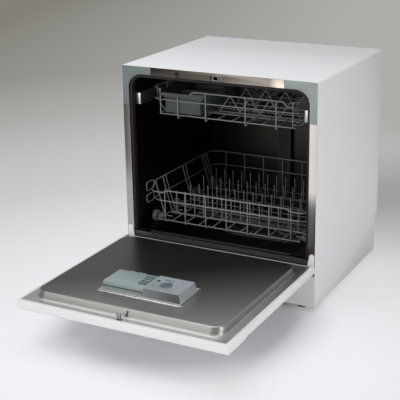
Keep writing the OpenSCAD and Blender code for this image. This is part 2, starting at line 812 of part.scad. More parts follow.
// Flap in the grip pocket that releases the hook
module handle_paddle() color("lightgray") {
    half = grip_half - 1;
    bar_x(-grip_half - 2, grip_half + 2, paddle_y, paddle_z, 2);
    bar_x(-half, half, paddle_y, paddle_z, 3.4);
    along_x(-half, 2 * half) polygon([
        [paddle_y, paddle_z - 3], [paddle_y + 15, paddle_z - 4.5], [paddle_y + 18, paddle_z - 4],
        [paddle_y + 18, paddle_z - 1.5], [paddle_y + 14, paddle_z - 1.5], [paddle_y, paddle_z + 1]]);
}

// Hook that holds the door shut
module latch_hook() color("silver") {
    y = shank_y;
    z = hook_z;
    z1 = hook_top;
    bar_x(-notch_half_w - 5, notch_half_w + 5, hook_y, z, 2);
    along_x(-5, 10) polygon([
        [hook_y - 3, z - 3], [hook_y + 3, z - 3], [hook_y + 3, z + 3], [y + 2.5, z + 9], [y + 2.5, z1],
        [y, z1], [y - 4.5, z1 - 4], [y - 4.5, z1 - 5], [y - 1, z1 - 5], [y - 1, z + 6]]);
}

// ---------------------------------------------------------------- dispenser

// A block with leaning walls: foot and top rectangles, made of two crossed profiles
module leaning(x0, x1, y0, y1, z0, z1, s) intersection() {
    along_y(y0 - s - 1, y1 - y0 + 2 * s + 2) polygon([[x0 - s, z0], [x1 + s, z0], [x1, z1], [x0, z1]]);
    along_x(x0 - s - 1, x1 - x0 + 2 * s + 2) polygon([[y0 - s, z0], [y1 + s, z0], [y1, z1], [y0, z1]]);
}

chamber_z = disp_z - lid_t - chamber_d;

// Dispenser housing through the liner, with the detergent chamber and a raised right half
module dispenser_body() color("lightslategray") {
    low_z = outer_z + 5;
    difference() {
        union() {
            leaning(disp_left, disp_right, disp_far, disp_near, plateau_z, disp_z, disp_draft - 1);
            block(disp_left - disp_rim, disp_right + disp_rim, disp_far - disp_rim, disp_near + disp_rim - 5,
                plateau_z, plateau_z + 1.6);
            block(disp_left - disp_draft + fit, disp_right + disp_draft - fit, disp_far - disp_draft + fit,
                disp_near + disp_draft - fit, low_z, plateau_z);
        }
        block(disp_left - 9, lid_right + fit, disp_far - 9, disp_near + 9,
            disp_z - lid_skirt - fit, disp_z + 1);
        block(disp_left + 8, lid_right - 8, disp_far + 9, disp_near - 14, chamber_z, disp_z);
        bar_z(cap_x, cap_y, disp_z - 3, disp_z + 1, cap_r + fit);
        bar_z(cap_x, cap_y, disp_z - 16, disp_z, 8 + run);
        bar_z(lens_x, lens_y, disp_z - 2, disp_z + 1, lens_r);
        block(catch_x - 6, catch_x + 6, catch_y - 6, catch_y + 8, disp_z - 6, disp_z + 1);
    }
    difference() {
        union() {
            block(disp_left + 50, disp_left + 52, disp_far + 8, disp_far + 30, chamber_z - 1, chamber_z + 9);
            for (x = [lid_knuckles[0] - 9, (lid_knuckles[0] + lid_knuckles[1]) / 2 - 2, lid_knuckles[1] + 5])
                block(x, x + 4, lid_axis_y - 2.6, lid_axis_y + 2.6,
                    disp_z - lid_skirt - fit - 0.5, lid_axis_z + 2.4);
        }
    }
    bar_x(lid_knuckles[0] - 9, lid_knuckles[1] + 9, lid_axis_y, lid_axis_z, 1.5);
}

// Detergent lid: a plate with a skirt round three sides and two knuckles on its hinge side
module detergent_lid() color("lightsteelblue") {
    y1 = lid_axis_y - 3.6;
    gap = fit;
    difference() {
        union() {
            intersection() {
                difference() {
                    leaning(disp_left, disp_right, disp_far, disp_near, plateau_z, disp_z, disp_draft - 1);
                    leaning(disp_left + 2.5, disp_right, disp_far + 2.5, disp_near, plateau_z - 1,
                        disp_z - lid_t, disp_draft - 1);
                }
                block(disp_left - 9, lid_right, disp_far - 9, y1, disp_z - lid_skirt, disp_z);
            }
            for (x = lid_knuckles) {
                bar_x(x - 4.5, x + 2.5, lid_axis_y, lid_axis_z, 3.2);
                block(x - 4.5, x + 2.5, y1 - 1, lid_axis_y, lid_axis_z + 0.5, disp_z - 0.3);
            }
        }
        bar_x(disp_left, lid_right, lid_axis_y, lid_axis_z, 1.5 + run);
    }
}

// Sliding catch that frees the lid
module lid_catch() color("lightslategray") {
    block(catch_x - 5.6, catch_x + 5.6, catch_y - 5.6, catch_y + 4.4, disp_z - 6 + fit, disp_z - 0.4);
    block(catch_x - 3, catch_x + 3, catch_y - 4, catch_y - 2, disp_z - 0.6, disp_z + 1.6);
}

// Rinse-aid cap with a grip rib, turned to open
module rinse_cap() color("slategray") translate([cap_x, cap_y, 0]) {
    difference() {
        bar_z(0, 0, disp_z - 3 + fit, disp_z + 1.2, cap_r);
        rotate(-30) for (s = [-1, 1]) translate([0, 0, disp_z]) linear_extrude(3) intersection() {
            circle(cap_r - 2);
            translate([s * 8.7, 0]) square([11, 20], center = true);
        }
    }
    bar_z(0, 0, disp_z - 15.5, disp_z, 8);
    rotate(-30) translate([-2.2, -cap_r + 2, disp_z]) cube([4.4, 2 * cap_r - 4, 4.5]);
}

// Rinse-aid level window
module level_window() color("darkslategray") bar_z(lens_x, lens_y, disp_z - 2, disp_z + 0.2, lens_r - 0.05);

// ---------------------------------------------------------------- lower rack

// The x of a leaning side wire at a height, from its foot to the top rail
function lean(z, half, foot, z0, z1) = foot + (half - foot) * (z - z0) / (z1 - z0);

// How deep one wire is pressed into the next at a weld
weld = 0.4;
// Step between two layers of crossed wires
step = wire_d - weld;
// Distance of the uprights inside a top rail, and of the middle rail
stand_off = (rail_d + wire_d) / 2 - weld;
mid_in = stand_off - step;
ring_in = 4;
low_hook_z = low_floor_z - wire_d;
low_side_z = low_floor_z - weld;
function low_x(z) = lean(z, low_half, low_foot, low_side_z, low_top_z);
up_hook_z = up_floor_z - wire_d;
up_side_z = up_floor_z - weld;
function up_x(z) = lean(z, up_half, up_foot, up_side_z, up_top_z);

// Floor of a rack: wires from side to side, and wires from front to back lying on them
module rack_floor(half, z, cross, along) {
    y0 = rack_y + stand_off + wire_d;
    y1 = rack_end - stand_off - wire_d;
    for (i = [0:cross + 1]) {
        y = y0 + (y1 - y0) * i / (cross + 1);
        wire([-half - wire_d, y, z], [half + wire_d, y, z], wire_d);
    }
    for (i = [0:along + 1]) {
        x = -half + 2 * half * i / (along + 1);
        wire([x, y0 - 1, z + step], [x, y1 + 1, z + step], wire_d);
    }
}

// A straight wire across a front or back
module rail(half, y, z, d) wire([-half, y, z], [half, y, z], d);

// Upright wires welded inside a front or back, each hooked in under the floor
module uprights(xs, y, z0, z1, into) for (x = xs)
    let (y1 = y + sign(into) * stand_off) bent([[x, y1, z1], [x, y1, z0], [x, y + into, z0]], wire_d);

// One side of a rack: its rails with their corners, and leaning uprights hooked in under the floor
module rack_side(half, mid_half, z_top, z_front, z_mid, singles, pairs, foot, z0) {
    r = rack_r;
    bent(concat([[half - r - 6, rack_y, z_front]],
        corner(half - r, rack_y + r, r, z_front, z_top, -90, 0),
        corner(half - r, rack_end - r, r, z_top, z_top, 0, 90),
        [[half - r - 6, rack_end, z_top]]), rail_d);
    bent(concat([[mid_half - r - 6, rack_y + mid_in, z_mid]],
        corner(mid_half - r, rack_y + mid_in + r, r, z_mid, z_mid, -90, 0),
        corner(mid_half - r, rack_end - mid_in - r, r, z_mid, z_mid, 0, 90),
        [[mid_half - r - 6, rack_end - mid_in, z_mid]]), wire_d);
    for (y = concat(singles, [for (p = pairs) p - 8], [for (p = pairs) p + 8]))
        bent([[half, y, z_top], [foot, y, z0], [foot - 24, y, z0]], wire_d);
}

low_ring = low_foot - ring_in;
low_front_xs = [for (i = [0:6]) -186 + 62 * i];
low_straight = low_half - rack_r - 6;
low_mid_half = low_x(low_mid_z);
low_mid_straight = low_mid_half - rack_r - 6;
wheel_ys = [for (i = [0:3]) low_wheel_y + low_pitch * i];

module lower_rack_floor() color("gray") {
    outer = low_wheel_x + low_wheel_w / 2;
    rack_floor(low_ring, low_floor_z, 5, 9);
    both_sides() for (y = wheel_ys) {
        block(low_ring - 1, low_wheel_x - low_wheel_w / 2 - 1.5, y - 6, y + 6, low_hook_z, low_axle_z + 6);
        bar_x(low_ring, outer + 1.2, y, low_axle_z, axle_r);
        bar_x(outer + 0.6, outer + 2, y, low_axle_z, axle_r + 1.6);
    }
}

module lower_rack_front() color("gray") {
    rail(low_straight, rack_y, low_front_z, rail_d);
    rail(low_mid_straight, rack_y + mid_in, low_mid_z, wire_d);
    uprights(low_front_xs, rack_y, low_hook_z, low_front_z + 1.5, 26);
}

module lower_rack_back() color("gray") {
    rail(low_straight, rack_end, low_top_z, rail_d);
    rail(low_mid_straight, rack_end - mid_in, low_mid_z, wire_d);
    uprights(low_front_xs, rack_end, low_hook_z, low_top_z + 1.5, -26);
}

module lower_rack_sides() color("gray") both_sides()
    rack_side(low_half, low_mid_half, low_top_z, low_front_z, low_mid_z,
        [rack_y + 42, rack_end - 34], [rack_y + 90, rack_y + 204, rack_y + 322], low_foot, low_side_z);

// Rows of plate tines standing on the floor wires
low_tine_ys = [-132, -52, 28, 108];
low_tine_h = 62;

module lower_rack_tines() color("gray") for (y = low_tine_ys) {
    z = low_floor_z + step + wire_d;
    wire([-196, y, z], [196, y, z], wire_d);
    for (x = [-182:28:182]) wire([x, y + step, z - 1.2], [x, y + step, z + low_tine_h], wire_d);
}

// A pair of ribbed wheels on one axle line
module wheel_pair(x, y, z, r, w, bore) both_sides() translate([x, y, z]) rotate([0, 90, 0]) difference() {
    union() {
        difference() {
            translate([0, 0, -w / 2]) cylinder(h = w, r = r);
            translate([0, 0, w / 2 - 2.5]) cylinder(h = 3, r = r - 2.5);
        }
        translate([0, 0, -w / 2]) cylinder(h = w, r = bore + 2.5);
        for (a = [0:60:300]) rotate(a) translate([bore + 1, -1, 0]) cube([r - bore - 2.5, 2, w / 2 - 0.5]);
    }
    translate([0, 0, -w]) cylinder(h = 2 * w, r = bore);
}

module lower_wheels(i) color("darkgray")
    wheel_pair(low_wheel_x, wheel_ys[i], low_axle_z, low_wheel_r, low_wheel_w, axle_r + run);
module lower_wheels_1() lower_wheels(0);
module lower_wheels_2() lower_wheels(1);
module lower_wheels_3() lower_wheels(2);
module lower_wheels_4() lower_wheels(3);

// ---------------------------------------------------------------- spray arms

// Two flat blades that narrow to round tips, with spray holes along both
module arm_blades(z) difference() {
    union() for (a = [0, 180]) rotate(a) {
        translate([0, 0, z]) linear_extrude(arm_t) polygon([
            [-6, -arm_w / 2], [arm_len * 0.45, -arm_w / 2], [arm_len - arm_w / 3, -arm_w / 3],
            [arm_len - arm_w / 3, arm_w / 3], [arm_len * 0.45, arm_w / 2], [-6, arm_w / 2]]);
        translate([arm_len - arm_w / 3, 0, z]) cylinder(h = arm_t, r = arm_w / 3);
    }
    for (a = [0, 180], i = [0:4]) rotate(a)
        translate([40 + i * 32, (i % 2) * 12 - 6, z + arm_t - 2]) cylinder(h = 5, r = 2, $fn = 24);
}

module lower_spray_arm() color("dimgray") difference() {
    union() {
        arm_blades(low_arm_z);
        bar_z(0, 0, low_arm_z, low_arm_z + arm_t + 3, spigot_r + 9);
    }
    bar_z(0, 0, low_arm_z - 1, low_arm_z + 9.5, spigot_r + run);
}

module upper_spray_arm() color("dimgray") difference() {
    union() {
        arm_blades(up_arm_z);
        bar_z(0, 0, up_arm_z - 2, up_arm_z + arm_t, up_hub_r + 8);
    }
    bar_z(0, 0, up_arm_z - 3, up_arm_z + arm_t + 1, up_hub_r + run);
}

// ---------------------------------------------------------------- upper rack

up_ring = up_foot - ring_in;
up_xs = [for (i = [0:4]) -168 + 84 * i];
up_straight = up_half - rack_r - 6;
up_mid_half = up_x(up_mid_z);
up_mid_straight = up_mid_half - rack_r - 6;

// Floor of the upper rack with the water feed that carries its spray arm
module upper_rack_floor() color("gray") {
    z1 = up_hook_z - wire_d / 2;
    rack_floor(up_ring, up_floor_z, 5, 8);
    block(-feed_w / 2, feed_w / 2, -14, tub_back_y - 18, z1 - feed_t, z1);
    bar_z(0, 0, up_arm_z - 3, z1 - 1, up_hub_r);
    bar_z(0, 0, up_arm_z - 6, up_arm_z - 2.3, up_hub_r + 4);
    bar_z(0, 0, up_arm_z + arm_t + 0.5, z1 - 1, up_hub_r + 5);
    for (y = [rack_y + 190, rack_y + 310]) block(-6, 6, y - 4, y + 4, z1 - 1, up_floor_z);
}

module upper_rack_ends() color("gray") {
    rail(up_straight, rack_y, up_front_z, rail_d);
    rail(up_mid_straight, rack_y + mid_in, up_mid_z, wire_d);
    uprights(up_xs, rack_y, up_hook_z, up_front_z + 1.5, 22);
    rail(up_straight, rack_end, up_top_z, rail_d);
    rail(up_mid_straight, rack_end - mid_in, up_mid_z, wire_d);
    uprights([for (x = up_xs) if (abs(x) > 20) x], rack_end, up_hook_z, up_top_z + 1.5, -22);
}

module upper_rack_sides() color("gray") {
    outer = up_wheel_x + up_wheel_w / 2;
    both_sides() {
        rack_side(up_half, up_mid_half, up_top_z, up_front_z, up_mid_z,
            [rack_y + 40], [rack_y + 100, rack_y + 206, rack_y + 298], up_foot, up_side_z);
        for (y = up_wheel_y) {
            block(up_mid_half - 5, outer - up_wheel_w - 1, y - 7, y + 7, up_axle_z - 8.3, up_axle_z + 7.7);
            bar_x(up_half, outer + 1.2, y, up_axle_z, axle_r);
            bar_x(outer + 0.6, outer + 2, y, up_axle_z, axle_r + 1.6);
        }
    }
}

// Zigzag cup supports along the floor
up_tine_ys = [-118, -18, 82];

module upper_rack_tines() color("gray") for (y = up_tine_ys) {
    z = up_floor_z + step + wire_d;
    xs = [for (i = [0:8]) -50 + 28.75 * i];
    wire([xs[0], y, z], [xs[8], y, z], wire_d);
    bent([for (i = [0:8]) [xs[i], y + step, z + 0.7 + (i % 2) * 42]], wire_d);
}

module upper_wheels(i) color("darkgray")
    wheel_pair(up_wheel_x, up_wheel_y[i], up_axle_z, up_wheel_r, up_wheel_w, axle_r + run);
module upper_wheels_1() upper_wheels(0);
module upper_wheels_2() upper_wheels(1);

// Cutlery basket standing in the rack's left front corner, its rim clipped over the front rail
basket_x0 = -194;
basket_x1 = -58;
basket_y0 = rack_y + 7;
basket_y1 = 64;
basket_lean = 16;
basket_hook_x = -106;

basket_z0 = up_floor_z + 2 * wire_d - weld - wire_d / 2 + 0.1;
basket_z1 = up_front_z + rail_d / 2 + 0.3;

basket_step_z = basket_z0 + 33;

// The basket's space, a box that flares out to its mouth, inset on every side but the mouth
module basket_shell(i) {
    s = basket_lean;
    along_y(basket_y0 + i, basket_y1 - basket_y0 - 2 * i) polygon([
        [basket_x0 + s + i, basket_z0 + i], [basket_x1 - s - i, basket_z0 + i],
        [basket_x1 - s - i, basket_step_z + i], [basket_x1 - i, basket_z1 + i],
        [basket_x0 + i, basket_z1 + i], [basket_x0 + s + i, basket_step_z + i]]);
}

module cutlery_basket() color("slategray") {
    z0 = basket_z0;
    z1 = basket_z1;
    t = 2.2;
    x0 = basket_x0 + basket_lean;
    x1 = basket_x1 - basket_lean;
    difference() {
        union() {
            difference() {
                basket_shell(0);
                basket_shell(t);
            }
            block(basket_x0 + 4, basket_hook_x, rack_y - 4.5, basket_y0 + 1, z1, z1 + 2);
            block(basket_x0 + 4, basket_hook_x, rack_y - 4.5, rack_y - 2.8, z1 - 6, z1 + 1);
            block(basket_x0 - 3, basket_x1 + 3, basket_y0 - 1, basket_y0 + 1, z1, z1 + 2);
            block(basket_x0 - 3, basket_x0 + 1, basket_y0 - 1, basket_y1 + 3, z1, z1 + 2);
            block(basket_x1 - 1, basket_x1 + 3, basket_y0 - 1, basket_y1 + 3, z1, z1 + 2);
            block(basket_x0 - 3, basket_x1 + 3, basket_y1 - 1, basket_y1 + 3, z1, z1 + 2);
            for (y = [basket_y0 + 82, basket_y0 + 164]) block(x0 + 1, x1 - 1, y, y + 2, z0 + 1, z1 - 8);
        }
        for (i = [0:13]) block(x0 + 10, x1 - 10, basket_y0 + 10 + 17 * i, basket_y0 + 18 + 17 * i, z0 - 1, z0 + t + 1);
        for (i = [0:13], x = [x0, x1])
            block(x - 4, x + 4, basket_y0 + 10 + 17 * i, basket_y0 + 18 + 17 * i, z0 + 8, basket_step_z - 4);
    }
}

cabinet_wrap();
rear_panel();
front_plinth();
base_pan();
feet();
front_frame();
corner_covers();
tub_wrap();
tub_base();
tub_back();
door_seal();
door_lock();
sump();
filter_plate();
filter_cup();
circulation_pump();
drain_pump();
inlet_valve();
drain_spigot();
cord_gland();
air_break();
pressure_switch();
upper_feed_pipe();
upper_rails();
hinge_brackets();
door_skin();
door_liner();
hinge_leaves();
control_panel();
control_board();
display_window();
button_1();
button_2();
button_3();
button_4();
handle_paddle();
latch_hook();
dispenser_body();
detergent_lid();
lid_catch();
rinse_cap();
level_window();
lower_rack_floor();
lower_rack_front();
lower_rack_back();
lower_rack_sides();
lower_rack_tines();
lower_wheels_1();
lower_wheels_2();
lower_wheels_3();
lower_wheels_4();
lower_spray_arm();
upper_rack_floor();
upper_rack_ends();
upper_rack_sides();
upper_rack_tines();
upper_wheels_1();
upper_wheels_2();
cutlery_basket();
upper_spray_arm();
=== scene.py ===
"""Looks of a countertop dishwasher with its door down: surfaces, finishes, studio and camera.

Lengths are in millimetres until a piece is made. X runs to the right, Y to the back, Z up from the table.
"""
import math

import bpy
import numpy as np
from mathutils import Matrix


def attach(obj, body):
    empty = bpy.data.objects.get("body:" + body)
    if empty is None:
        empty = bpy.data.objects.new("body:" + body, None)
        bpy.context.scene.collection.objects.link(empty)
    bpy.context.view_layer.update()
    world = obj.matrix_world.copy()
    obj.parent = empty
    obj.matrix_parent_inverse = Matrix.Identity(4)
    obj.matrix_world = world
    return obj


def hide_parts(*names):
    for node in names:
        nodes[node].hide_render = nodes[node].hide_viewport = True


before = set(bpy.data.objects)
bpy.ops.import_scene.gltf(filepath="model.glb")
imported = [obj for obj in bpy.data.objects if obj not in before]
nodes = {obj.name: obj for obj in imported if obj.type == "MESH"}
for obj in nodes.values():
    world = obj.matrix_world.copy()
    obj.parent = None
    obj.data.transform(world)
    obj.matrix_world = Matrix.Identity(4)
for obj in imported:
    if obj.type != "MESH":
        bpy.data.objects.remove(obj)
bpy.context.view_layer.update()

MM = 0.001
TURN = 2 * math.pi

# ---------------------------------------------------------------- planes of the machine, door open

FRONT_Y = -239.0
TOP_Z = 595.0
FLANGE_Z = 128.0
PLATEAU_Z = 146.0
DOOR_NEAR_Y = -254.0
LINER_FAR_Y = -725.0
LINER_HALF = 269.0
RACK_Y = -190.0
RACK_END = 188.0
LOWER_RAIL_Z, LOWER_SIDE_Z, LOWER_FLOOR_Z = 248.0, 258.0, 160.6
UPPER_RAIL_Z, UPPER_HOOKED_Z, UPPER_FLOOR_Z = 527.6, 515.6, 460.6
LOWER_WHEELS_Y, LOWER_WHEELS_Z = (-161.0, -46.5, 68.0, 182.5), 162.0
UPPER_WHEELS_Y, UPPER_WHEELS_Z = (48.0, 140.0), 504.0
WIRE, RAIL, STEP = 1.55, 1.85, 3.0
LID_TOP = 168.0


# ---------------------------------------------------------------- arrays to meshes

def unit(v):
    """Each vector of an array scaled to length one."""
    return v / np.maximum(np.linalg.norm(v, axis=-1, keepdims=True), 1e-12)


def lattice(rows, cols, closed_rows, closed_cols):
    """Four corner numbers of every cell of a rows by cols grid of points."""
    down, across = np.arange(rows - (not closed_rows)), np.arange(cols - (not closed_cols))
    i, j = np.meshgrid(down, across, indexing="ij")
    k, m = (i + 1) % rows, (j + 1) % cols
    return np.stack([i * cols + j, i * cols + m, k * cols + m, k * cols + j], -1).reshape(-1, 4)


class Shell:
    """One piece's surfaces, gathered as arrays of points and faces in millimetres."""

    def __init__(self):
        self.points, self.faces, self.count = [], [], 0

    def add(self, points, faces, out=None):
        """Adds a surface, its faces turned outwards by its volume, or along `out` where it is open."""
        tri = np.concatenate([f[:, [0, k, k + 1]] for f in faces for k in range(1, f.shape[1] - 1)])
        a, b, c = (points[tri[:, k]] for k in range(3))
        area = np.cross(b - a, c - a)
        side = (a * area).sum() if out is None else (area @ np.array(out, float)).sum()
        self.points.append(points)
        self.faces += [f[:, ::-1] + self.count if side < 0 else f + self.count for f in faces]
        self.count += len(points)

    def grid(self, p, closed_rows=False, closed_cols=True, caps=False, out=None):
        """A grid of points as a surface; caps close its first and last rows with a fan to their middle."""
        rows, cols = p.shape[:2]
        points, faces = p.reshape(-1, 3), [lattice(rows, cols, closed_rows, closed_cols)]
        if caps:
            j = np.arange(cols)
            last = (rows - 1) * cols
            n = len(points)
            points = np.concatenate([points, p[0].mean(0)[None], p[-1].mean(0)[None]])
            faces += [np.stack([np.full(cols, n), (j + 1) % cols, j], -1),
                      np.stack([np.full(cols, n + 1), last + j, last + (j + 1) % cols], -1)]
        self.add(points, faces, out)

    def make(self, name, body, finish, slot, replaces=(), wall=0.0):
        """The mesh object, riding on a body; a wall is added on the inner side of an open sheet."""
        mesh = bpy.data.meshes.new(name)
        points = np.concatenate(self.points) * MM
        loops = np.concatenate([f.ravel() for f in self.faces])
        sizes = np.concatenate([np.full(len(f), f.shape[1]) for f in self.faces])
        mesh.vertices.add(len(points))
        mesh.vertices.foreach_set("co", points.astype(np.float32).ravel())
        mesh.loops.add(len(loops))
        mesh.loops.foreach_set("vertex_index", loops.astype(np.int32))
        mesh.polygons.add(len(sizes))
        mesh.polygons.foreach_set("loop_start", (np.cumsum(sizes) - sizes).astype(np.int32))
        mesh.polygons.foreach_set("use_smooth", np.full(len(sizes), True))
        mesh.update(calc_edges=True)
        mesh.validate()
        mesh.materials.append(finish)
        piece = bpy.data.objects.new(name, mesh)
        bpy.context.scene.collection.objects.link(piece)
        if wall:
            sheet = piece.modifiers.new("wall", "SOLIDIFY")
            sheet.thickness, sheet.offset = wall * MM, -1.0
        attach(piece, body)
        if replaces:
            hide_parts(*replaces)
        return piece


def bend(points, radius, closed=False, n=5):
    """A row of points with each corner rounded by a quadratic curve, from `radius` before it to `radius`
    past it, or less where the corners stand close."""
    p = np.array(points, float)
    c = p if closed else p[1:-1]
    before = np.roll(p, 1, 0) if closed else p[:-2]
    after = np.roll(p, -1, 0) if closed else p[2:]
    spans = [np.linalg.norm(q - c, axis=-1, keepdims=True) for q in (before, after)]
    reach = [np.minimum(radius, 0.45 * span) for span in spans]
    a, b = c + unit(before - c) * reach[0], c + unit(after - c) * reach[1]
    s = np.linspace(0, 1, n)[None, :, None]
    curve = ((1 - s) ** 2 * a[:, None] + 2 * s * (1 - s) * c[:, None] + s ** 2 * b[:, None]).reshape(-1, 3)
    return curve if closed else np.concatenate([p[:1], curve, p[-1:]])


def tube(shell, path, radius, ref, sides=8, closed=False):
    """A circle carried along a path, with domed ends; ref is a direction that the path never takes."""
    p = np.array(path, float)
    r = np.full(len(p), radius)
    if not closed:
        ends = [unit(p[0] - p[1]), unit(p[-1] - p[-2])]
        dome = np.array([0.85, 0.45]) * radius
        p = np.concatenate([p[0] + dome[:, None] * ends[0], p, p[-1] + dome[::-1, None] * ends[1]])
        thin = np.array([0.5, 0.9]) * radius
        r = np.concatenate([thin, r, thin[::-1]])
    along = unit(np.roll(p, -1, 0) - np.roll(p, 1, 0)) if closed else unit(np.gradient(p, axis=0))
    side = unit(np.cross(np.array(ref, float), along))
    up = np.cross(along, side)
    a = np.arange(sides) * TURN / sides
    ring = side[:, None] * np.cos(a)[None, :, None] + up[:, None] * np.sin(a)[None, :, None]
    shell.grid(p[:, None] + r[:, None, None] * ring, closed_rows=closed, caps=not closed)


def wire(shell, points, radius, ref, corner=0.0, sides=8, closed=False):
    """A bent wire: a tube along a row of points with rounded corners."""
    p = np.array(points, float)
    if corner and (closed or len(p) > 2):
        p = bend(p, corner, closed)
    tube(shell, p, radius, ref, sides, closed)


AXES = {"x": (2, 0, 1), "y": (0, 2, 1), "z": (0, 1, 2)}


def lathe(shell, profile, at=(0, 0, 0), axis="z", sides=32, wave=None, caps=True):
    """A profile of (radius, height) turned about an axis; wave changes height and radius round the turn."""
    q = np.array(profile, float)
    a = np.arange(sides) * TURN / sides
    r, h = np.repeat(q[:, :1], sides, 1), np.repeat(q[:, 1:2], sides, 1)
    if wave is not None:
        r, h = wave(r, h, a[None, :])
    local = np.stack([r * np.cos(a), r * np.sin(a), h], -1)
    order = AXES[axis]
    shell.grid(local[..., list(order)] + np.array(at, float), caps=caps)


def loop(cx, cy, hx, hy, r, n=6):
    """A rectangle with round corners: a quarter circle about each corner's middle, in turn."""
    a = np.linspace(0, TURN / 4, n + 1)
    quarter = np.arange(4)[:, None] * TURN / 4 + a[None, :]
    mx = np.array([1, -1, -1, 1])[:, None] * (hx - r) + cx
    my = np.array([1, 1, -1, -1])[:, None] * (hy - r) + cy
    return np.stack([mx + r * np.cos(quarter), my + r * np.sin(quarter)], -1).reshape(-1, 2)


def layered(loops):
    """Outlines with their heights, stacked into a grid of points."""
    return np.stack([np.column_stack([o, np.full(len(o), z)]) for o, z in loops])


def slab(shell, x0, x1, y0, y1, z0, z1, corner=2.0, edge=0.8):
    """A block with round corners seen from above, and edges rounded by a quarter circle."""
    cx, cy, hx, hy = (x0 + x1) / 2, (y0 + y1) / 2, (x1 - x0) / 2, (y1 - y0) / 2
    a = np.linspace(0, TURN / 4, 4)
    rise = [(edge * (1 - math.sin(t)), z0 + edge * (1 - math.cos(t))) for t in a]
    rise += [(edge * (1 - math.cos(t)), z1 - edge * (1 - math.sin(t))) for t in a]
    r = max(corner, edge + 0.2)
    shell.grid(layered([(loop(cx, cy, hx - i, hy - i, r - i), z) for i, z in rise]), caps=True)


def smooth(x, a, b):
    """Rises from 0 at a to 1 at b along a cubic."""
    t = np.clip((x - a) / (b - a), 0, 1)
    return t * t * (3 - 2 * t)


# ---------------------------------------------------------------- shader maths

def srgb(r, g, b):
    """A display colour in 0..255 as the linear colour a shader takes."""
    c = np.array([r, g, b]) / 255
    return (*np.where(c <= 0.04045, c / 12.92, ((c + 0.055) / 1.055) ** 2.4).tolist(), 1.0)


def feed(tree, socket, value):
    """Links a value or output to a socket, or sets the socket's own number, vector or colour."""
    if isinstance(value, Value):
        tree.links.new(value.socket, socket)
    elif isinstance(value, bpy.types.NodeSocket):
        tree.links.new(value, socket)
    else:
        socket.default_value = value


def add_node(tree, kind, settings=None, inputs=None):
    """A node of a type, its settings made first and then its sockets."""
    node = tree.nodes.new(kind)
    for key, setting in (settings or {}).items():
        setattr(node, key, setting)
    for key, value in (inputs or {}).items():
        feed(tree, node.inputs[key], value)
    return node


def calculate(tree, operation, *operands):
    """One Math node on numbers or Values."""
    node = add_node(tree, "ShaderNodeMath", {"operation": operation}, dict(enumerate(operands)))
    return Value(tree, node.outputs[0])


class Value:
    """A number that varies over a surface; arithmetic on it adds Math nodes."""

    def __init__(self, tree, socket):
        self.tree, self.socket = tree, socket

    def math(self, operation, *others):
        """One Math node on this number and others."""
        return calculate(self.tree, operation, self, *others)

    def __add__(self, other):
        return self.math("ADD", other)

    def __sub__(self, other):
        return self.math("SUBTRACT", other)

    def __rsub__(self, other):
        return calculate(self.tree, "SUBTRACT", other, self)

    def __mul__(self, other):
        return self.math("MULTIPLY", other)

    def __truediv__(self, other):
        return self.math("DIVIDE", other)

    def __pow__(self, other):
        return self.math("POWER", other)

    __radd__, __rmul__ = __add__, __mul__

    def above(self, low, high):
        """0 below low, 1 above high and straight between."""
        return ((self - low) / (high - low)).math("MINIMUM", 1.0).math("MAXIMUM", 0.0)


class Finish:
    """A material: a Principled shader and the maths that feeds it, on Object coordinates in metres."""

    def __init__(self, name, colour, roughness, **fixed):
        self.material = bpy.data.materials.new(name)
        self.material.use_nodes = True
        self.tree = self.material.node_tree
        self.tree.nodes.clear()
        self.shader = self.node("ShaderNodeBsdfPrincipled")
        self.out = self.node("ShaderNodeOutputMaterial", None, {0: self.shader.outputs[0]})
        self.where = self.node("ShaderNodeTexCoord").outputs["Object"]
        self.base = srgb(*colour)
        self.set("Base Color", self.base)
        self.set("Roughness", roughness)
        for key, number in fixed.items():
            self.set(key.replace("_", " ").title(), number)

    def node(self, kind, settings=None, inputs=None):
        """A node in this material."""
        return add_node(self.tree, kind, settings, inputs)

    def set(self, socket, value):
        """Feeds one of the Principled shader's sockets."""
        feed(self.tree, self.shader.inputs[socket], value)

    def stretched(self, stretch):
        """The place with each coordinate times its own factor."""
        node = self.node("ShaderNodeVectorMath", {"operation": "MULTIPLY"}, {0: self.where, 1: stretch})
        return node.outputs[0]

    def noise(self, scale, detail=2.0, rough=0.5, stretch=(1, 1, 1)):
        """Soft random levels, `scale` of them to a metre."""
        node = self.node("ShaderNodeTexNoise", None, {
            "Vector": self.stretched(stretch), "Scale": scale, "Detail": detail, "Roughness": rough})
        return Value(self.tree, node.outputs[0])

    def cells(self, scale, feature="F1", output=0):
        """Random cells, `scale` of them to a metre."""
        node = self.node("ShaderNodeTexVoronoi", {"feature": feature}, {
            "Vector": self.where, "Scale": scale})
        return Value(self.tree, node.outputs[output])

    def place(self):
        """The object's X, Y and Z in metres."""
        node = self.node("ShaderNodeSeparateXYZ", None, {0: self.where})
        return [Value(self.tree, s) for s in node.outputs]

    def mix(self, factor, a, b):
        """Colour a at factor 0, colour b at 1 and straight between."""
        node = self.node("ShaderNodeMix", {"data_type": "RGBA"}, {0: factor, 6: a, 7: b})
        return node.outputs[2]

    def ramp(self, factor, *stops, scale=1.0):
        """A curve through (place, level) points, straight between them."""
        node = self.node("ShaderNodeValToRGB", None, {0: factor})
        band = node.color_ramp.elements
        while len(band) < len(stops):
            band.new(0.5)
        for element, (place, level) in zip(band, stops):
            element.position, element.color = place / scale, (level, level, level, 1.0)
        return Value(self.tree, node.outputs[0])

    def tint(self, factor, other, amount=1.0):
        """The base colour turned towards another where the factor is high."""
        self.set("Base Color", self.mix(factor * amount, self.base, other))

    def bump(self, height, depth, strength=1.0):
        """Relief of a depth in millimetres."""
        node = self.node("ShaderNodeBump", None, {
            "Height": height, "Distance": depth * MM, "Strength": strength})
        self.set("Normal", node.outputs[0])


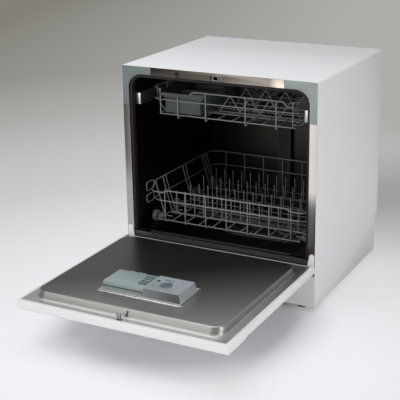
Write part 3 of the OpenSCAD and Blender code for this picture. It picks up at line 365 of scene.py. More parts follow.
def shade(colour, factor):
    """A linear colour made darker or lighter."""
    return (*[min(1.0, c * factor) for c in colour[:3]], 1.0)


def painted(name, colour, roughness, scale=900.0, depth=0.012, coat=0.25):
    """Smooth paint or gloss moulding: a faint orange-peel relief, slow changes of tone and of gloss."""
    f = Finish(name, colour, roughness, coat_weight=coat, coat_roughness=0.2)
    slow = f.noise(6, 3)
    f.tint(slow, shade(f.base, 0.93), 0.5)
    f.set("Roughness", roughness - 0.05 + 0.12 * f.noise(25, 4, 0.6))
    f.bump(f.noise(scale, 2), depth)
    return f.material


GRAIN = 2600.0
GRAIN_DEPTH = 0.03


def moulded(name, colour, roughness):
    """Matt moulding: a fine spark-eroded grain, scuffs that lighten it and a slow change of tone."""
    f = Finish(name, colour, roughness)
    grain = f.noise(GRAIN, 2, 0.6)
    scuffs = f.noise(70, 5, 0.7, (1, 4, 1)).above(0.62, 0.8)
    f.tint(f.noise(9, 3) * 0.5 + scuffs * 0.35, shade(f.base, 1.22))
    f.set("Roughness", roughness - 0.06 + 0.16 * grain)
    f.bump(grain, GRAIN_DEPTH)
    return f.material


def hair_lines(name, colour, roughness, stretch, wave):
    """Stainless sheet before its places are told apart: hair lines one way and slow waves from pressing."""
    f = Finish(name, colour, roughness, metallic=1.0)
    hair = f.noise(1, 4, 0.7, stretch)
    slow = f.noise(5, 2)
    f.set("Roughness", roughness - 0.05 + 0.10 * hair + 0.05 * slow)
    f.bump(hair * 0.12 + slow * wave, 0.05)
    return f, hair * 0.4 + slow * 0.2


def brushed(name, colour, roughness, stretch, wave=0.0):
    """Plain brushed sheet."""
    f, lines = hair_lines(name, colour, roughness, stretch, wave)
    f.tint(lines, shade(f.base, 0.72))
    return f.material


def liner_sheet():
    """The door's liner, one stainless sheet with painted light: its rim painted bright and lighter at the
    left, its walls painted greyer, and its raised middle painted with the reflection of the dark tub at the
    left and of the light at the front right."""
    f, lines = hair_lines("liner_steel", (150, 149, 146), 0.3, (8, 500, 500), 0.1)
    x, y, z = f.place()
    # painted reflection: the raised middle is dark where it faces the tub and light towards the front right
    lit_front_right = (x * 1.6 - (y + 0.5) * 2.2).above(-0.1, 0.75)
    middle = f.mix(lit_front_right, srgb(112, 111, 107), srgb(206, 205, 201))
    # painted shade: the walls are greyer than the rim
    wall = f.mix(x.above(-0.25, 0.2), srgb(162, 161, 157), srgb(160, 159, 156))
    tone = f.mix(z.above(0.1445, 0.1458), wall, middle)
    # painted highlight: the rim is bright, lighter at the left
    rim = f.mix(x.above(-0.25, 0.05), srgb(244, 243, 240), srgb(226, 225, 223))
    tone = f.mix(z.above(0.1296, 0.1314), rim, tone)
    f.set("Base Color", f.mix(lines, tone, srgb(120, 119, 116)))
    # less metal where the painted light falls, so that it shows brighter
    f.set("Metallic", 1 - lit_front_right * 0.35)
    return f.material


def frame_sheet():
    """The frame round the opening, with painted light and shade: its right strip painted bright above and
    dark below, its left strip painted lighter low down, its sill painted dark, its top painted darker at the
    left, and a painted reflection as a pale patch at the top's right end."""
    f, lines = hair_lines("frame_steel", (150, 144, 134), 0.2, (3, 700, 220), 0.1)
    x, y, z = f.place()
    right = x.above(0.2515, 0.2525)
    top = z.above(0.5722, 0.5730)
    # painted highlight: the right strip is bright above
    lit = right * z.above(0.27, 0.32)
    # painted light: the left strip is lighter low down
    lit_lower_left = (1 - x.above(-0.2525, -0.2515)) * (1 - z.above(0.27, 0.34))
    tone = f.mix(lit_lower_left, srgb(150, 144, 135), srgb(196, 191, 184))
    tone = f.mix(lit, tone, srgb(255, 246, 238))
    # painted shade: the right strip is dark below
    tone = f.mix(right * (1 - z.above(0.25, 0.31)), tone, srgb(100, 97, 94))
    # painted shade: the top is darker at the left
    tone = f.mix(top, tone, f.mix(x.above(-0.02, 0.05), srgb(64, 59, 52), srgb(114, 110, 103)))
    # painted reflection: a pale patch at the top's right end
    patch = top * x.above(0.148, 0.170) * (1 - x.above(0.186, 0.1875))
    tone = f.mix(patch, tone, srgb(208, 200, 186))
    # painted shade: the sill is dark
    tone = f.mix(1 - z.above(0.142, 0.146), tone, srgb(62, 60, 58))
    f.set("Base Color", f.mix(lines * (1 - patch), tone, srgb(104, 100, 94)))
    # less metal under the painted highlight and reflection
    f.set("Metallic", 1 - patch * 0.5 - lit * 0.8)
    return f.material


def shade_painted_moulding(name, left, right, roughness, x0, x1):
    """A moulding with painted light and shade: its tone runs from one side's to the other's, with its grain.
    """
    f = Finish(name, left, roughness)
    x, y, z = f.place()
    grain = f.noise(GRAIN, 2, 0.6)
    # painted light and shade: the tone runs across from one side to the other
    tone = f.mix(x.above(x0, x1), srgb(*left), srgb(*right))
    f.set("Base Color", f.mix(f.noise(60, 4, 0.6) * 0.25, tone, shade(f.base, 0.8)))
    f.set("Roughness", roughness - 0.06 + 0.16 * grain)
    f.bump(grain, GRAIN_DEPTH)
    return f


def dispenser_moulding():
    """The dispenser's grey with painted light and shade: lighter to the right on its top, darker to the
    right on its front, and a painted shadow under the lid's front edge; its foot has the tone of the steel
    lip.
    """
    f = shade_painted_moulding("dispenser_plastic", (140, 150, 153), (162, 169, 174), 0.42, -0.11, 0.11)
    x, y, z = f.place()
    # painted light: the top is lighter to the right
    top = f.shader.inputs["Base Color"].links[0].from_socket
    front = (1 - y.above(-0.6240, -0.6225)) * (1 - z.above(0.1668, 0.1674))
    # painted shade: the front is darker to the right
    tone = f.mix(front, top, f.mix(x.above(-0.03, 0.08), srgb(134, 142, 144), srgb(74, 79, 79)))
    # painted shadow: a dark band under the lid's front edge
    lid_shadow = front * (1 - x.above(0.005, 0.006)) * z.above(0.1555, 0.1560)
    tone = f.mix(lid_shadow, tone, srgb(24, 26, 27))
    lip = 1 - z.above(0.1475, 0.1480)
    f.set("Base Color", f.mix(lip, tone, srgb(214, 213, 210)))
    f.set("Metallic", lip)
    return f.material


def plated(name, colour, roughness, metallic=1.0, patches=160, contrast=0.7):
    """Zinc-plated steel: soft patches of slightly different tone, like frost."""
    f = Finish(name, colour, roughness, metallic=metallic)
    patch = f.cells(patches, output=1)
    tone = Value(f.tree, f.node("ShaderNodeRGBToBW", None, {0: patch.socket}).outputs[0])
    f.tint(tone, shade(f.base, 0.7), contrast)
    f.set("Roughness", roughness + 0.12 * tone + 0.06 * f.noise(300, 3))
    f.bump(f.noise(500, 3), 0.01)
    return f.material


def coated(name, colour):
    """Dipped wire coat: satin, with small runs and a paler tone where it is thin."""
    f = Finish(name, colour, 0.38, coat_weight=0.35, coat_roughness=0.3)
    runs = f.noise(130, 4, 0.6)
    f.tint(runs.above(0.45, 0.7), shade(f.base, 1.3), 0.6)
    f.set("Roughness", 0.3 + 0.2 * runs)
    f.bump(f.noise(420, 2), 0.05)
    return f.material


def rubbery(name, colour):
    """Rubber: matt, with a dusty bloom in patches and a fine grain."""
    f = Finish(name, colour, 0.62)
    bloom = f.noise(40, 4, 0.65)
    f.tint(bloom.above(0.45, 0.8), shade(f.base, 1.8), 0.7)
    f.set("Roughness", 0.55 + 0.25 * bloom)
    f.bump(f.noise(900, 3), 0.04)
    return f.material


def perforated(name, colour, pitch):
    """Fine filter sheet: round holes in rows, darker and sunk."""
    f = Finish(name, colour, 0.3, metallic=1.0)
    x, y, z = f.place()
    k = TURN / (pitch * MM)
    dots = (x * k).math("SINE") * (y * k).math("SINE")
    dots = dots * (1 - f.noise(2, 1) * 0.05)
    hole = dots.above(0.1, 0.4)
    f.tint(hole, shade(f.base, 0.12), 0.9)
    f.set("Roughness", 0.26 + 0.4 * hole)
    f.bump(1 - hole, 0.2)
    return f.material


def glassy(name, colour):
    """A dark tinted window: deep gloss with faint wiping marks."""
    f = Finish(name, colour, 0.06, coat_weight=1.0, coat_roughness=0.04)
    smear = f.noise(30, 4, 0.6, (1, 5, 1))
    f.tint(smear, shade(f.base, 1.8), 0.4)
    f.set("Roughness", 0.05 + 0.12 * smear)
    f.bump(f.noise(200, 1), 0.004)
    return f.material


def printed_board(name, colour):
    """Circuit board: copper runs under green lacquer."""
    f = Finish(name, colour, 0.3, coat_weight=0.5, coat_roughness=0.15)
    runs = f.cells(260, "DISTANCE_TO_EDGE")
    line = 1 - runs.above(0.03, 0.09)
    f.tint(line, srgb(70, 130, 80))
    f.set("Roughness", 0.25 + 0.2 * line)
    f.bump(line, 0.05)
    return f.material


def ribbed_lid():
    """The lid's grey, with painted shade where the surface lies low between its ribs."""
    f = Finish("thumb_rest", (143, 157, 156), 0.4)
    x, y, z = f.place()
    # painted shade in the low places between the ribs
    low = 1 - z.above(LID_TOP * MM + 0.00035, LID_TOP * MM + 0.00055)
    f.tint(low, srgb(8, 9, 10))
    f.set("Roughness", 0.4 + 0.5 * low)
    f.bump(f.noise(GRAIN, 2), GRAIN_DEPTH)
    return f.material


ENAMEL = painted("white_enamel", (233, 233, 234), 0.36)
GLOSS = painted("white_gloss", (238, 238, 239), 0.3, 1500.0, 0.008, 0.5)
FRAME_STEEL = frame_sheet()
LINER_STEEL = liner_sheet()
# painted shade: the tub's stainless is given a far darker tone than the liner's, for the shade inside the
# tub
TUB_STEEL = brushed("tub_steel", (60, 57, 53), 0.32, (700, 8, 500), 0.3)
HOOK_STEEL = brushed("hook_steel", (158, 157, 152), 0.35, (400, 400, 12))
# painted shade: a dark moulding for the shadow in the hook's slot
SLOT_SHADE = moulded("slot_shadow", (70, 69, 66), 0.6)
HINGE_STEEL = plated("hinge_steel", (205, 206, 208), 0.24)
BACK_STEEL = plated("galvanised_back", (206, 208, 210), 0.5, 0.6, 60, 0.3)
# painted shade: the corner covers and handle are darker to the left, lighter to the right
PANEL_GREY = shade_painted_moulding("corner_plastic", (112, 122, 119), (150, 161, 158), 0.5, -0.2, 0.2).material
DISPENSER_GREY = dispenser_moulding()
LID_GREY = moulded("lid_plastic", (143, 157, 156), 0.38)
THUMB_GREY = ribbed_lid()
CAP_GREY = moulded("cap_plastic", (104, 117, 122), 0.42)
BASKET_GREY = moulded("basket_plastic", (66, 73, 74), 0.46)
ARM_GREY = moulded("arm_plastic", (70, 74, 77), 0.42)
WHEEL_GREY = moulded("wheel_plastic", (98, 101, 100), 0.45)
WORKS_GREY = moulded("works_plastic", (96, 100, 103), 0.5)
TRAY_BLACK = moulded("tray_plastic", (44, 45, 47), 0.55)
RACK_COAT = coated("rack_coat", (126, 127, 124))
RUBBER = rubbery("black_rubber", (9, 9, 9))
FILTER_STEEL = perforated("filter_steel", (178, 176, 172), 3.2)
WINDOW = glassy("window_glass", (14, 16, 19))
LENS = glassy("level_lens", (38, 52, 60))
BOARD = printed_board("board_lacquer", (24, 92, 44))
BUTTON = painted("button_silver", (190, 192, 195), 0.28, 1800.0, 0.006, 0.4)

FINISHES = {
    ENAMEL: "cabinet_wrap front_plinth door_skin",
    GLOSS: "control_panel inlet_valve air_break pressure_switch",
    BACK_STEEL: "rear_panel",
    FRAME_STEEL: "front_frame",
    PANEL_GREY: "corner_covers handle_paddle",
    TUB_STEEL: "tub_wrap tub_base tub_back",
    RUBBER: "door_seal feet cord_gland",
    TRAY_BLACK: "base_pan door_lock upper_feed_pipe",
    WORKS_GREY: "sump circulation_pump drain_pump drain_spigot filter_cup",
    FILTER_STEEL: "filter_plate",
    HINGE_STEEL: "hinge_brackets hinge_leaves upper_rails",
    HOOK_STEEL: "latch_hook",
    DISPENSER_GREY: "dispenser_body lid_catch",
    LID_GREY: "detergent_lid",
    CAP_GREY: "rinse_cap",
    LENS: "level_window",
    WINDOW: "display_window",
    BOARD: "control_board",
    BUTTON: "button_1 button_2 button_3 button_4",
    BASKET_GREY: "cutlery_basket",
}
SOFT_EDGES = {
    "cabinet_wrap": 0.5, "front_plinth": 0.5, "door_skin": 0.5, "control_panel": 0.8, "front_frame": 0.3,
    "corner_covers": 0.3, "dispenser_body": 0.6, "detergent_lid": 0.7, "rinse_cap": 0.4, "lid_catch": 0.4,
    "cutlery_basket": 0.5, "handle_paddle": 0.6, "latch_hook": 0.4, "upper_rails": 0.4, "door_seal": 0.6,
    "upper_feed_pipe": 1.5, "base_pan": 0.8, "hinge_brackets": 0.4, "rear_panel": 0.4, "feet": 0.6,
    "button_1": 0.5, "button_2": 0.5, "button_3": 0.5, "button_4": 0.5,
}
EDGE_ANGLE = math.radians(35)


def angle_shading():
    """Geometry nodes that shade faces smoothly but keep edges over the angle sharp."""
    tree = bpy.data.node_groups.new("shade_by_angle", "GeometryNodeTree")
    for way in ("INPUT", "OUTPUT"):
        tree.interface.new_socket("Geometry", in_out=way, socket_type="NodeSocketGeometry")
    mesh = add_node(tree, "NodeGroupInput").outputs[0]
    angle = add_node(tree, "GeometryNodeInputMeshEdgeAngle").outputs[0]
    soft = add_node(tree, "FunctionNodeCompare", {"operation": "LESS_THAN"}, {0: angle, 1: EDGE_ANGLE})
    faces = add_node(tree, "GeometryNodeSetShadeSmooth", {"domain": "FACE"}, {0: mesh})
    edges = add_node(tree, "GeometryNodeSetShadeSmooth", {"domain": "EDGE"}, {
        0: faces.outputs[0], 2: soft.outputs[0]})
    add_node(tree, "NodeGroupOutput", None, {0: edges.outputs[0]})
    return tree


SHADING = angle_shading()


def finish_node(name, material):
    """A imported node's finish: its loose triangles joined, its edges softened, its shading set by angle."""
    node = nodes[name]
    node.data.materials.clear()
    node.data.materials.append(material)
    join = node.modifiers.new("join", "WELD")
    join.merge_threshold = 1e-6
    if name in SOFT_EDGES:
        edge = node.modifiers.new("edge", "BEVEL")
        edge.width, edge.segments = SOFT_EDGES[name] * MM, 2
        edge.limit_method, edge.angle_limit = "ANGLE", EDGE_ANGLE
        edge.harden_normals = False
    by_angle = node.modifiers.new("shading", "NODES")
    by_angle.node_group = SHADING


for material, names in FINISHES.items():
    for name in names.split():
        finish_node(name, material)


# ---------------------------------------------------------------- small parts

def screw(shell, at, axis="z", up=1.0, r=3.6, rise=1.5):
    """A screw's head: a dome with a cross sunk into it, the cross a product of two soft slots."""
    dome = np.array([
        [0.02, 1], [0.25, 0.98], [0.45, 0.92], [0.7, 0.78], [0.88, 0.5], [1.0, 0.12], [1.0, -0.15]])

    def cross(rr, h, a):
        """Lowers the head where either slot runs."""
        x, y = rr * np.cos(a) / r, rr * np.sin(a) / r
        slot = np.maximum((1 - smooth(abs(x), 0.08, 0.18)) * (1 - smooth(abs(y), 0.5, 0.62)),
                          (1 - smooth(abs(y), 0.08, 0.18)) * (1 - smooth(abs(x), 0.5, 0.62)))
        return rr, (h - slot * rise * 0.7) * up

    lathe(shell, dome * [r, rise], at, axis, 24, cross)


# ---------------------------------------------------------------- door liner

DISP_X, DISP_Y = -2.0, -585.0
FOOT_HALF, FOOT_FAR, FOOT_NEAR = 247.2, -706.6, -286.0
WALL_SIDE, WALL_END = 1.2, 9.0
FILLET = 3.0
RIDGE = 1.5
NOTCH = 6.5
NOTCH_END = -713.5
CORNER = 31.0


def wall_y(z):
    """Where the raised middle's far wall stands at a height."""
    return FOOT_FAR + WALL_END * (z - FLANGE_Z) / (PLATEAU_Z - FILLET - FLANGE_Z)


def make_liner():
    """Pressed sheet: a flat rim in strips, a half-round ridge at the foot, walls that lean in more at the
    ends than at the sides, a quarter-circle fillet, and the flat middle down to the dispenser."""
    s = Shell()
    cy, hy = (FOOT_FAR + FOOT_NEAR) / 2, (FOOT_NEAR - FOOT_FAR) / 2
    inner_x, inner_far, inner_near, hinge_x = 255.0, FOOT_FAR - 4.4, -262.0, 259.7

    def strip(x0, x1, y0, y1):
        """A flat rectangle at the rim's height."""
        x, y = np.meshgrid(np.array([x0, x1], float), np.array([y0, y1], float))
        points = np.stack([x, y, np.full_like(x, FLANGE_Z)], -1)
        s.grid(points, closed_cols=False, out=(0, 0, 1))

    strip(-LINER_HALF, -NOTCH, LINER_FAR_Y, inner_far)
    strip(NOTCH, LINER_HALF, LINER_FAR_Y, inner_far)
    strip(-NOTCH, NOTCH, NOTCH_END, inner_far)
    strip(-LINER_HALF, -inner_x, inner_far, inner_near)
    strip(inner_x, LINER_HALF, inner_far, inner_near)
    strip(-hinge_x, hinge_x, inner_near, DOOR_NEAR_Y)

    def outline(side, end, z, r=CORNER):
        """The foot's rounded rectangle, moved outwards by `side` at its sides and `end` at its ends."""
        return loop(0, cy, FOOT_HALF + side, hy + end, r + side), z

    rows = [(loop(0, (inner_far + inner_near) / 2, inner_x, (inner_near - inner_far) / 2, 0.6), FLANGE_Z)]
    for turn in np.linspace(0, TURN / 2, 7):
        out = 0.6 + RIDGE * (1 + math.cos(turn))
        rows.append(outline(out, out, FLANGE_Z + RIDGE * math.sin(turn)))
    rise = PLATEAU_Z - FILLET - FLANGE_Z
    for share in (0.0, 0.5, 1.0):
        z = FLANGE_Z + 0.3 + (rise - 0.3) * share
        rows.append(outline(-WALL_SIDE * share, -WALL_END * share, z, CORNER - 1))
    for turn in np.linspace(0, TURN / 4, 6)[1:]:
        back, up = FILLET * (1 - math.cos(turn)), FILLET * math.sin(turn)
        rows.append(outline(-WALL_SIDE - back, -WALL_END - back, FLANGE_Z + rise + up, CORNER - 2))
    rows += [outline(-9, -19, PLATEAU_Z, CORNER - 4),
             (loop(DISP_X, DISP_Y, 112, 52, 6), PLATEAU_Z),
             (loop(DISP_X, DISP_Y, 107, 46, 4), PLATEAU_Z - 0.6),
             (loop(DISP_X, DISP_Y, 105.2, 45.2, 3), PLATEAU_Z - 2.5)]
    s.grid(layered(rows), out=(0, 0, 1))
    liner = s.make("door_liner_sheet", "door", LINER_STEEL, "polished_steel", ("door_liner",), wall=0.8)
    normals = liner.modifiers.new("flats", "WEIGHTED_NORMAL")
    normals.weight = 80


def make_hook_place():
    """A dark sheet on the far wall beside the hook, painted shade for its slot, and the white rim closed
    behind the hook.
    """
    s = Shell()
    # a dark sheet of painted shade, just in front of the far wall
    z = np.array([FLANGE_Z + 4.0, PLATEAU_Z - FILLET - 1.0])
    x, high = np.meshgrid([7.2, 12.0], z)
    s.grid(np.stack([x, wall_y(high) - 0.25, high], -1), closed_cols=False, out=(0, -1, 0))
    s.make("hook_slot_shadow", "door", SLOT_SHADE, "black_rubber", wall=0.1)
    s = Shell()
    slab(s, -16.5, 16.5, -731.0, -725.2, 119.0, 127.9, 0.8, 0.4)
    s.make("rim_bridge", "door", GLOSS, "white_plastic")


def make_door_trim():
    """The bead pressed round the dispenser, and the rim's screws."""
    s = Shell()
    path = np.column_stack([loop(DISP_X, DISP_Y, 113.0, 52.5, 8), np.full(28, PLATEAU_Z)])
    tube(s, path, 1.7, (0, 0, 1), 10, closed=True)
    s.make("dispenser_bead", "door", HINGE_STEEL, "polished_steel")
    s = Shell()
    for x in (-262.0, 262.0):
        for y in (-716.0, -560.0, -400.0, -302.0):
            screw(s, (x, y, FLANGE_Z), rise=0.26)
    for x in (-150.0, -60.0, 60.0, 150.0):
        screw(s, (x, -718.0, FLANGE_Z), rise=0.26)
    s.make("rim_screws", "door", HINGE_STEEL, "hinge_steel")


# ---------------------------------------------------------------- racks

def corner_arc(cx, cy, r, z0, z1, a0, a1, n=7):
    """A quarter turn of a rail, rising evenly from z0 to z1."""
    a = np.radians(np.linspace(a0, a1, n))
    return np.column_stack([cx + r * np.cos(a), cy + r * np.sin(a), np.linspace(z0, z1, n)])


def rail_loop(half, y0, y1, z_front, z_side, dip, r=30.0):
    """A rail round a rack: level in front, a dip before each front corner, then up along the side and level
    behind."""
    low = z_front - dip
    right = np.concatenate([
        [[half - r - 34, y0, z_front], [half - r - 22, y0, z_front - dip * 0.85], [half - r - 8, y0, low]],
        corner_arc(half - r, y0 + r, r, low, low + 1, -90, 0),
        [[half, y0 + r + 16, z_side]],
        corner_arc(half - r, y1 - r, r, z_side, z_side, 0, 90)])
    left = right[::-1] * [-1, 1, 1]
    return bend(np.concatenate([right, left]), 5, closed=True, n=3)


def cornered_rail(half, corner_x, y0, y1, z_rail, z_dip, z_hooked, hooked):
    """The upper rack's rail: it dips to a corner post, cuts the corner, and lies lower where the basket
    hooks on."""
    side = np.concatenate([
        [[corner_x - 26, y0, z_rail], [corner_x - 14, y0, z_dip - 0.8], [corner_x, y0, z_dip]],
        [[corner_x + 1.5, y0 + 1, z_rail], [half - 2, y0 + 24, z_rail], [half, y0 + 34, z_rail]],
        corner_arc(half - 30, y1 - 30, 30, z_rail, z_rail, 0, 90)])
    x0, x1 = hooked
    other = side[::-1] * [-1, 1, 1]
    other[-1, 2] = z_hooked
    front = [[x0, y0, z_hooked], [x1, y0, z_hooked], [x1 + 12, y0, z_rail]]
    return bend(np.concatenate([side, other, front]), 4, closed=True, n=3)


def rack_wires(rail, ring, fronts, backs, sides, profile, z_front, z_back, z_foot, into, sag=0.0):
    """A rack's rail, its middle ring, and uprights that hook in under the floor wires; profile gives the
    (half width, height) of the side uprights."""
    s = Shell()
    tube(s, rail, RAIL, (0, 0, 1), 10, closed=True)
    half, z_mid, r = ring
    middle = loop(0, -1, half, 188.6, r, 7)
    tube(s, np.column_stack([middle, np.full(len(middle), z_mid)]), WIRE, (0, 0, 1), 8, closed=True)
    for xs, y, top, way in ((fronts, RACK_Y, z_front, 1), (backs, RACK_END, z_back, -1)):
        for x in xs:
            y1 = y + way * 3.2
            low = z_foot - 3.2
            high = (top(x) if callable(top) else top) + 1.5
            wire(s, [[x, y1, high], [x, y1, low - sag], [x, y + way * into, low]], WIRE, (1, 0, 0), 6)
    for y in sides:
        for side in (-1, 1):
            wire(s, [[side * x, y, z] for x, z in profile], WIRE, (0, 1, 0), 9)
    return s


def floor_wires(s, half, z, cross, along):
    """Wires from side to side with wires from front to back lying on them."""
    y0, y1 = RACK_Y + 7.2, RACK_END - 7.2
    for y in np.linspace(y0, y1, cross + 2):
        wire(s, [[-half - 3.6, y, z], [half + 3.6, y, z]], WIRE, (0, 0, 1))
    for x in np.linspace(-half, half, along + 2):
        wire(s, [[x, y0 - 1, z + STEP], [x, y1 + 1, z + STEP]], WIRE, (0, 0, 1))


def corner_ears(s, x, y0, depth, levels):
    """Small square loops of wire standing outside a rack's front corners, one over another."""
    for side in (-1, 1):
        for low, high in levels:
            ring = [[side * x, y0, low], [side * x, y0, high], [side * x, y0 + depth, high],
                    [side * x, y0 + depth, low]]
            wire(s, ring, 1.5, (1, 0, 0), 6, closed=True)


def pairs(singles, doubles):
    """Places from a rack's front for single uprights, and for two together, 8 to each side of a place."""
    return [RACK_Y + v for v in singles] + [RACK_Y + v + d for v in doubles for d in (-8, 8)]


def make_lower_rack():
    """Rails, floor, rows of tines and wheel clips of the lower rack."""
    xs = np.linspace(-186, 186, 7)
    profile = [(237.5, LOWER_SIDE_Z), (210.0, 160.2), (186.0, 160.2)]
    rail = rail_loop(238.0, RACK_Y, RACK_END, LOWER_RAIL_Z, LOWER_SIDE_Z, 7.0)
    s = rack_wires(rail, (226.6, 218.0, 30.0), xs, xs, pairs([42, 344], [90, 204, 322]), profile,
                   LOWER_RAIL_Z, LOWER_SIDE_Z, 160.2, 26)
    corner_ears(s, 240.6, RACK_Y - 0.5, 38.0, [(238.0, 262.0), (205.0, 227.0)])
    s.make("lower_rack_rails", "lower_rack", RACK_COAT, "rack_coat",
           ("lower_rack_front", "lower_rack_back", "lower_rack_sides"))
    s = Shell()
    floor_wires(s, 206.0, LOWER_FLOOR_Z, 5, 9)
    s.make("lower_rack_grid", "lower_rack", RACK_COAT, "rack_coat", ("lower_rack_floor",))
    s = Shell()
    for y in (-132.0, -52.0, 28.0, 108.0):
        wire(s, [[-196, y, 166.8], [196, y, 166.8]], WIRE, (0, 0, 1))
        for x in np.arange(-182, 183, 28.0):
            wire(s, [[x, y + STEP, 165.8], [x, y + STEP, 228.0]], WIRE, (0, 1, 0))
    s.make("lower_rack_plate_tines", "lower_rack", RACK_COAT, "rack_coat", ("lower_rack_tines",))
    s = Shell()
    for y in LOWER_WHEELS_Y:
        for side in (-1, 1):
            slab(s, *sorted((side * 205.0, side * 222.0)), y - 6, y + 6, 157.0, 168.0, 3.0, 1.2)
            slab(s, *sorted((side * 207.0, side * 214.0)), y - 3.5, y + 3.5, 166.0, 172.0, 2.0, 1.0)
            lathe(s, [(3, 206), (3, 235), (4.6, 235.1), (4.6, 236), (4, 236.6), (2, 236.9)],
                  (0, y, LOWER_WHEELS_Z), "x", 20, lambda r, h, a, k=side: (r, h * k))
    s.make("lower_rack_clips", "lower_rack", WHEEL_GREY, "wheel_plastic")


def make_upper_rack():
    """Rails, floor, zigzag rests, wheel clips and water feed of the upper rack."""
    post_x, hook_x = 189.5, (-192.0, -104.0)
    rail = cornered_rail(222.0, post_x, RACK_Y, RACK_END, UPPER_RAIL_Z, 515.2, UPPER_HOOKED_Z, hook_x)
    profile = [(221.6, UPPER_RAIL_Z), (220.4, 500.5), (208.0, 473.0), (195.0, 460.2), (171.0, 460.2)]

    def front_top(x):
        """The height of the front rail, lower where the basket hooks on."""
        return UPPER_HOOKED_Z if x < hook_x[1] else UPPER_RAIL_Z

    s = rack_wires(rail, (219.4, 500.5, 34.0), (-139.0, -57.0, 57.0, 143.0), (-139.0, -57.0, 57.0, 139.0),
                   pairs([40], [100, 206, 298]), profile, front_top, UPPER_RAIL_Z, 460.2, 22, 5.5)
    for x in (-post_x, post_x):
        wire(s, [[x, RACK_Y + 1.2, 529.5], [x, RACK_Y + 1.2, 462.0]], WIRE, (1, 0, 0))
    s.make("upper_rack_rails", "upper_rack", RACK_COAT, "rack_coat",
           ("upper_rack_ends", "upper_rack_sides"))
    s = Shell()
    floor_wires(s, 191.0, UPPER_FLOOR_Z, 5, 8)
    s.make("upper_rack_grid", "upper_rack", RACK_COAT, "rack_coat")
    s = Shell()
    for y in (-118.0, -18.0, 82.0):
        wire(s, [[-50, y, 466.8], [180, y, 466.8]], WIRE, (0, 0, 1))
        zigzag = [[-50 + 28.75 * i, y + STEP, 467.6 + (i % 2) * 42] for i in range(9)]
        wire(s, zigzag, WIRE, (0, 1, 0), 4)
    s.make("upper_cup_rests", "upper_rack", RACK_COAT, "rack_coat", ("upper_rack_tines",))
    s = Shell()
    for y in UPPER_WHEELS_Y:
        for side in (-1, 1):
            slab(s, *sorted((side * 207.0, side * 235.0)), y - 7, y + 7, 495.7, 511.7, 4.0, 1.5)
            lathe(s, [(3, 222), (3, 242.5), (4.6, 242.6), (4.6, 243.6), (2, 244)],
                  (0, y, UPPER_WHEELS_Z), "x", 20, lambda r, h, a, k=side: (r, h * k))
    s.make("upper_rack_clips", "upper_rack", WHEEL_GREY, "wheel_plastic")
    s = Shell()
    slab(s, -11, 11, -14, 188.5, 442.2, 455.2, 7.0, 4.5)
    lathe(s, [(11, 420.6), (11, 423.8), (7, 424.3), (7, 440.9), (12, 441.3), (12, 450)], (0, 0, 0), "z", 36)
    for y in (0.0, 120.0):
        slab(s, -6, 6, y - 4, y + 4, 454.2, 460.6, 2, 0.8)
    s.make("upper_water_feed", "upper_rack", WORKS_GREY, "dark_grey_plastic", ("upper_rack_floor",))


def make_wheels(name, xc, y, z, r, w, bore):
    """A pair of rack wheels: a grooved tread, a sunk face with ribs between hub and rim."""
    s = Shell()
    h = w / 2
    sunk = h - 3.3
    profile = [(bore, -h), (bore, h - 0.4), (bore + 0.4, h), (bore + 2.3, h), (bore + 2.6, h - 0.4),
               (bore + 3.0, sunk), (r - 3.4, sunk), (r - 2.6, h - 0.2), (r - 1.2, h), (r - 0.3, h - 0.8),
               (r, h - 1.6), (r, -h + 1.6), (r - 0.3, -h + 0.6), (r - 1.2, -h)]
    q = np.array(profile)

    def ribs(rr, hh, a):
        """Raises six ribs on the sunk face, and cuts 24 grooves into the tread by a cosine."""
        spoke = np.abs(((a * 6 / TURN + 0.5) % 1) - 0.5) * rr * TURN / 6
        web = (hh > 0) & (np.abs(hh - sunk) < 0.01)
        hh = np.where(web, sunk + 2.9 * (1 - smooth(spoke, 0.6, 1.1)), hh)
        tread = rr > r - 0.01
        return np.where(tread, rr - 0.45 * (0.5 + 0.5 * np.cos(a * 24)), rr), hh

    for side in (-1, 1):
        lathe(s, np.concatenate([q, q[:1]]), (side * xc, y, z), "x", 96, ribs, caps=False)
    s.make(name + "_treads", name, WHEEL_GREY, "wheel_plastic", (name,))


# ---------------------------------------------------------------- spray arms

ARM_LEN, ARM_HALF = 188.0, 22.0


def make_arm(name, z0, hub):
    """A blade: superellipse sections whose width narrows to round tips, with raised nozzles and a hub."""
    s = Shell()
    u = -np.cos(np.linspace(0, math.pi, 81))
    t = np.abs(u)
    tip = np.sqrt(np.clip(1 - (np.clip(t - 0.9, 0, 1) / 0.1) ** 2, 0.0025, 1))
    width = (ARM_HALF - 7.5 * smooth(t, 0.4, 0.95)) * tip
    thick = (6.0 - 1.6 * smooth(t, 0.2, 1)) * (0.35 + 0.65 * tip)
    a = np.arange(28) * TURN / 28
    c, d = np.cos(a), np.sin(a)
    y = width[:, None] * (np.sign(c) * np.abs(c) ** 0.7)[None]
    z = thick[:, None] * (np.sign(d) * np.abs(d) ** 0.7)[None] + z0 + 6.0
    s.grid(np.stack([np.repeat(u[:, None] * ARM_LEN, 28, 1), y, z], -1), caps=True)
    for side in (-1, 1):
        for i in range(5):
            x = 40.0 + 32 * i
            top = z0 + 6 + float(6.0 - 1.6 * smooth(np.array(x / ARM_LEN), 0.2, 1)) - 0.4
            lathe(s, [(4.4, -1), (4.4, 0.5), (3.8, 1.1), (2.4, 1.1), (2.0, 0.4), (1.8, -0.6), (0.3, -0.7)],
                  (side * x, side * ((i % 2) * 12 - 6), top), "z", 20)
    lathe(s, hub, (0, 0, z0), "z", 40)
    s.make(name + "_blades", name, ARM_GREY, "dark_grey_plastic", (name,))


# ---------------------------------------------------------------- dispenser, frame and cabinet details

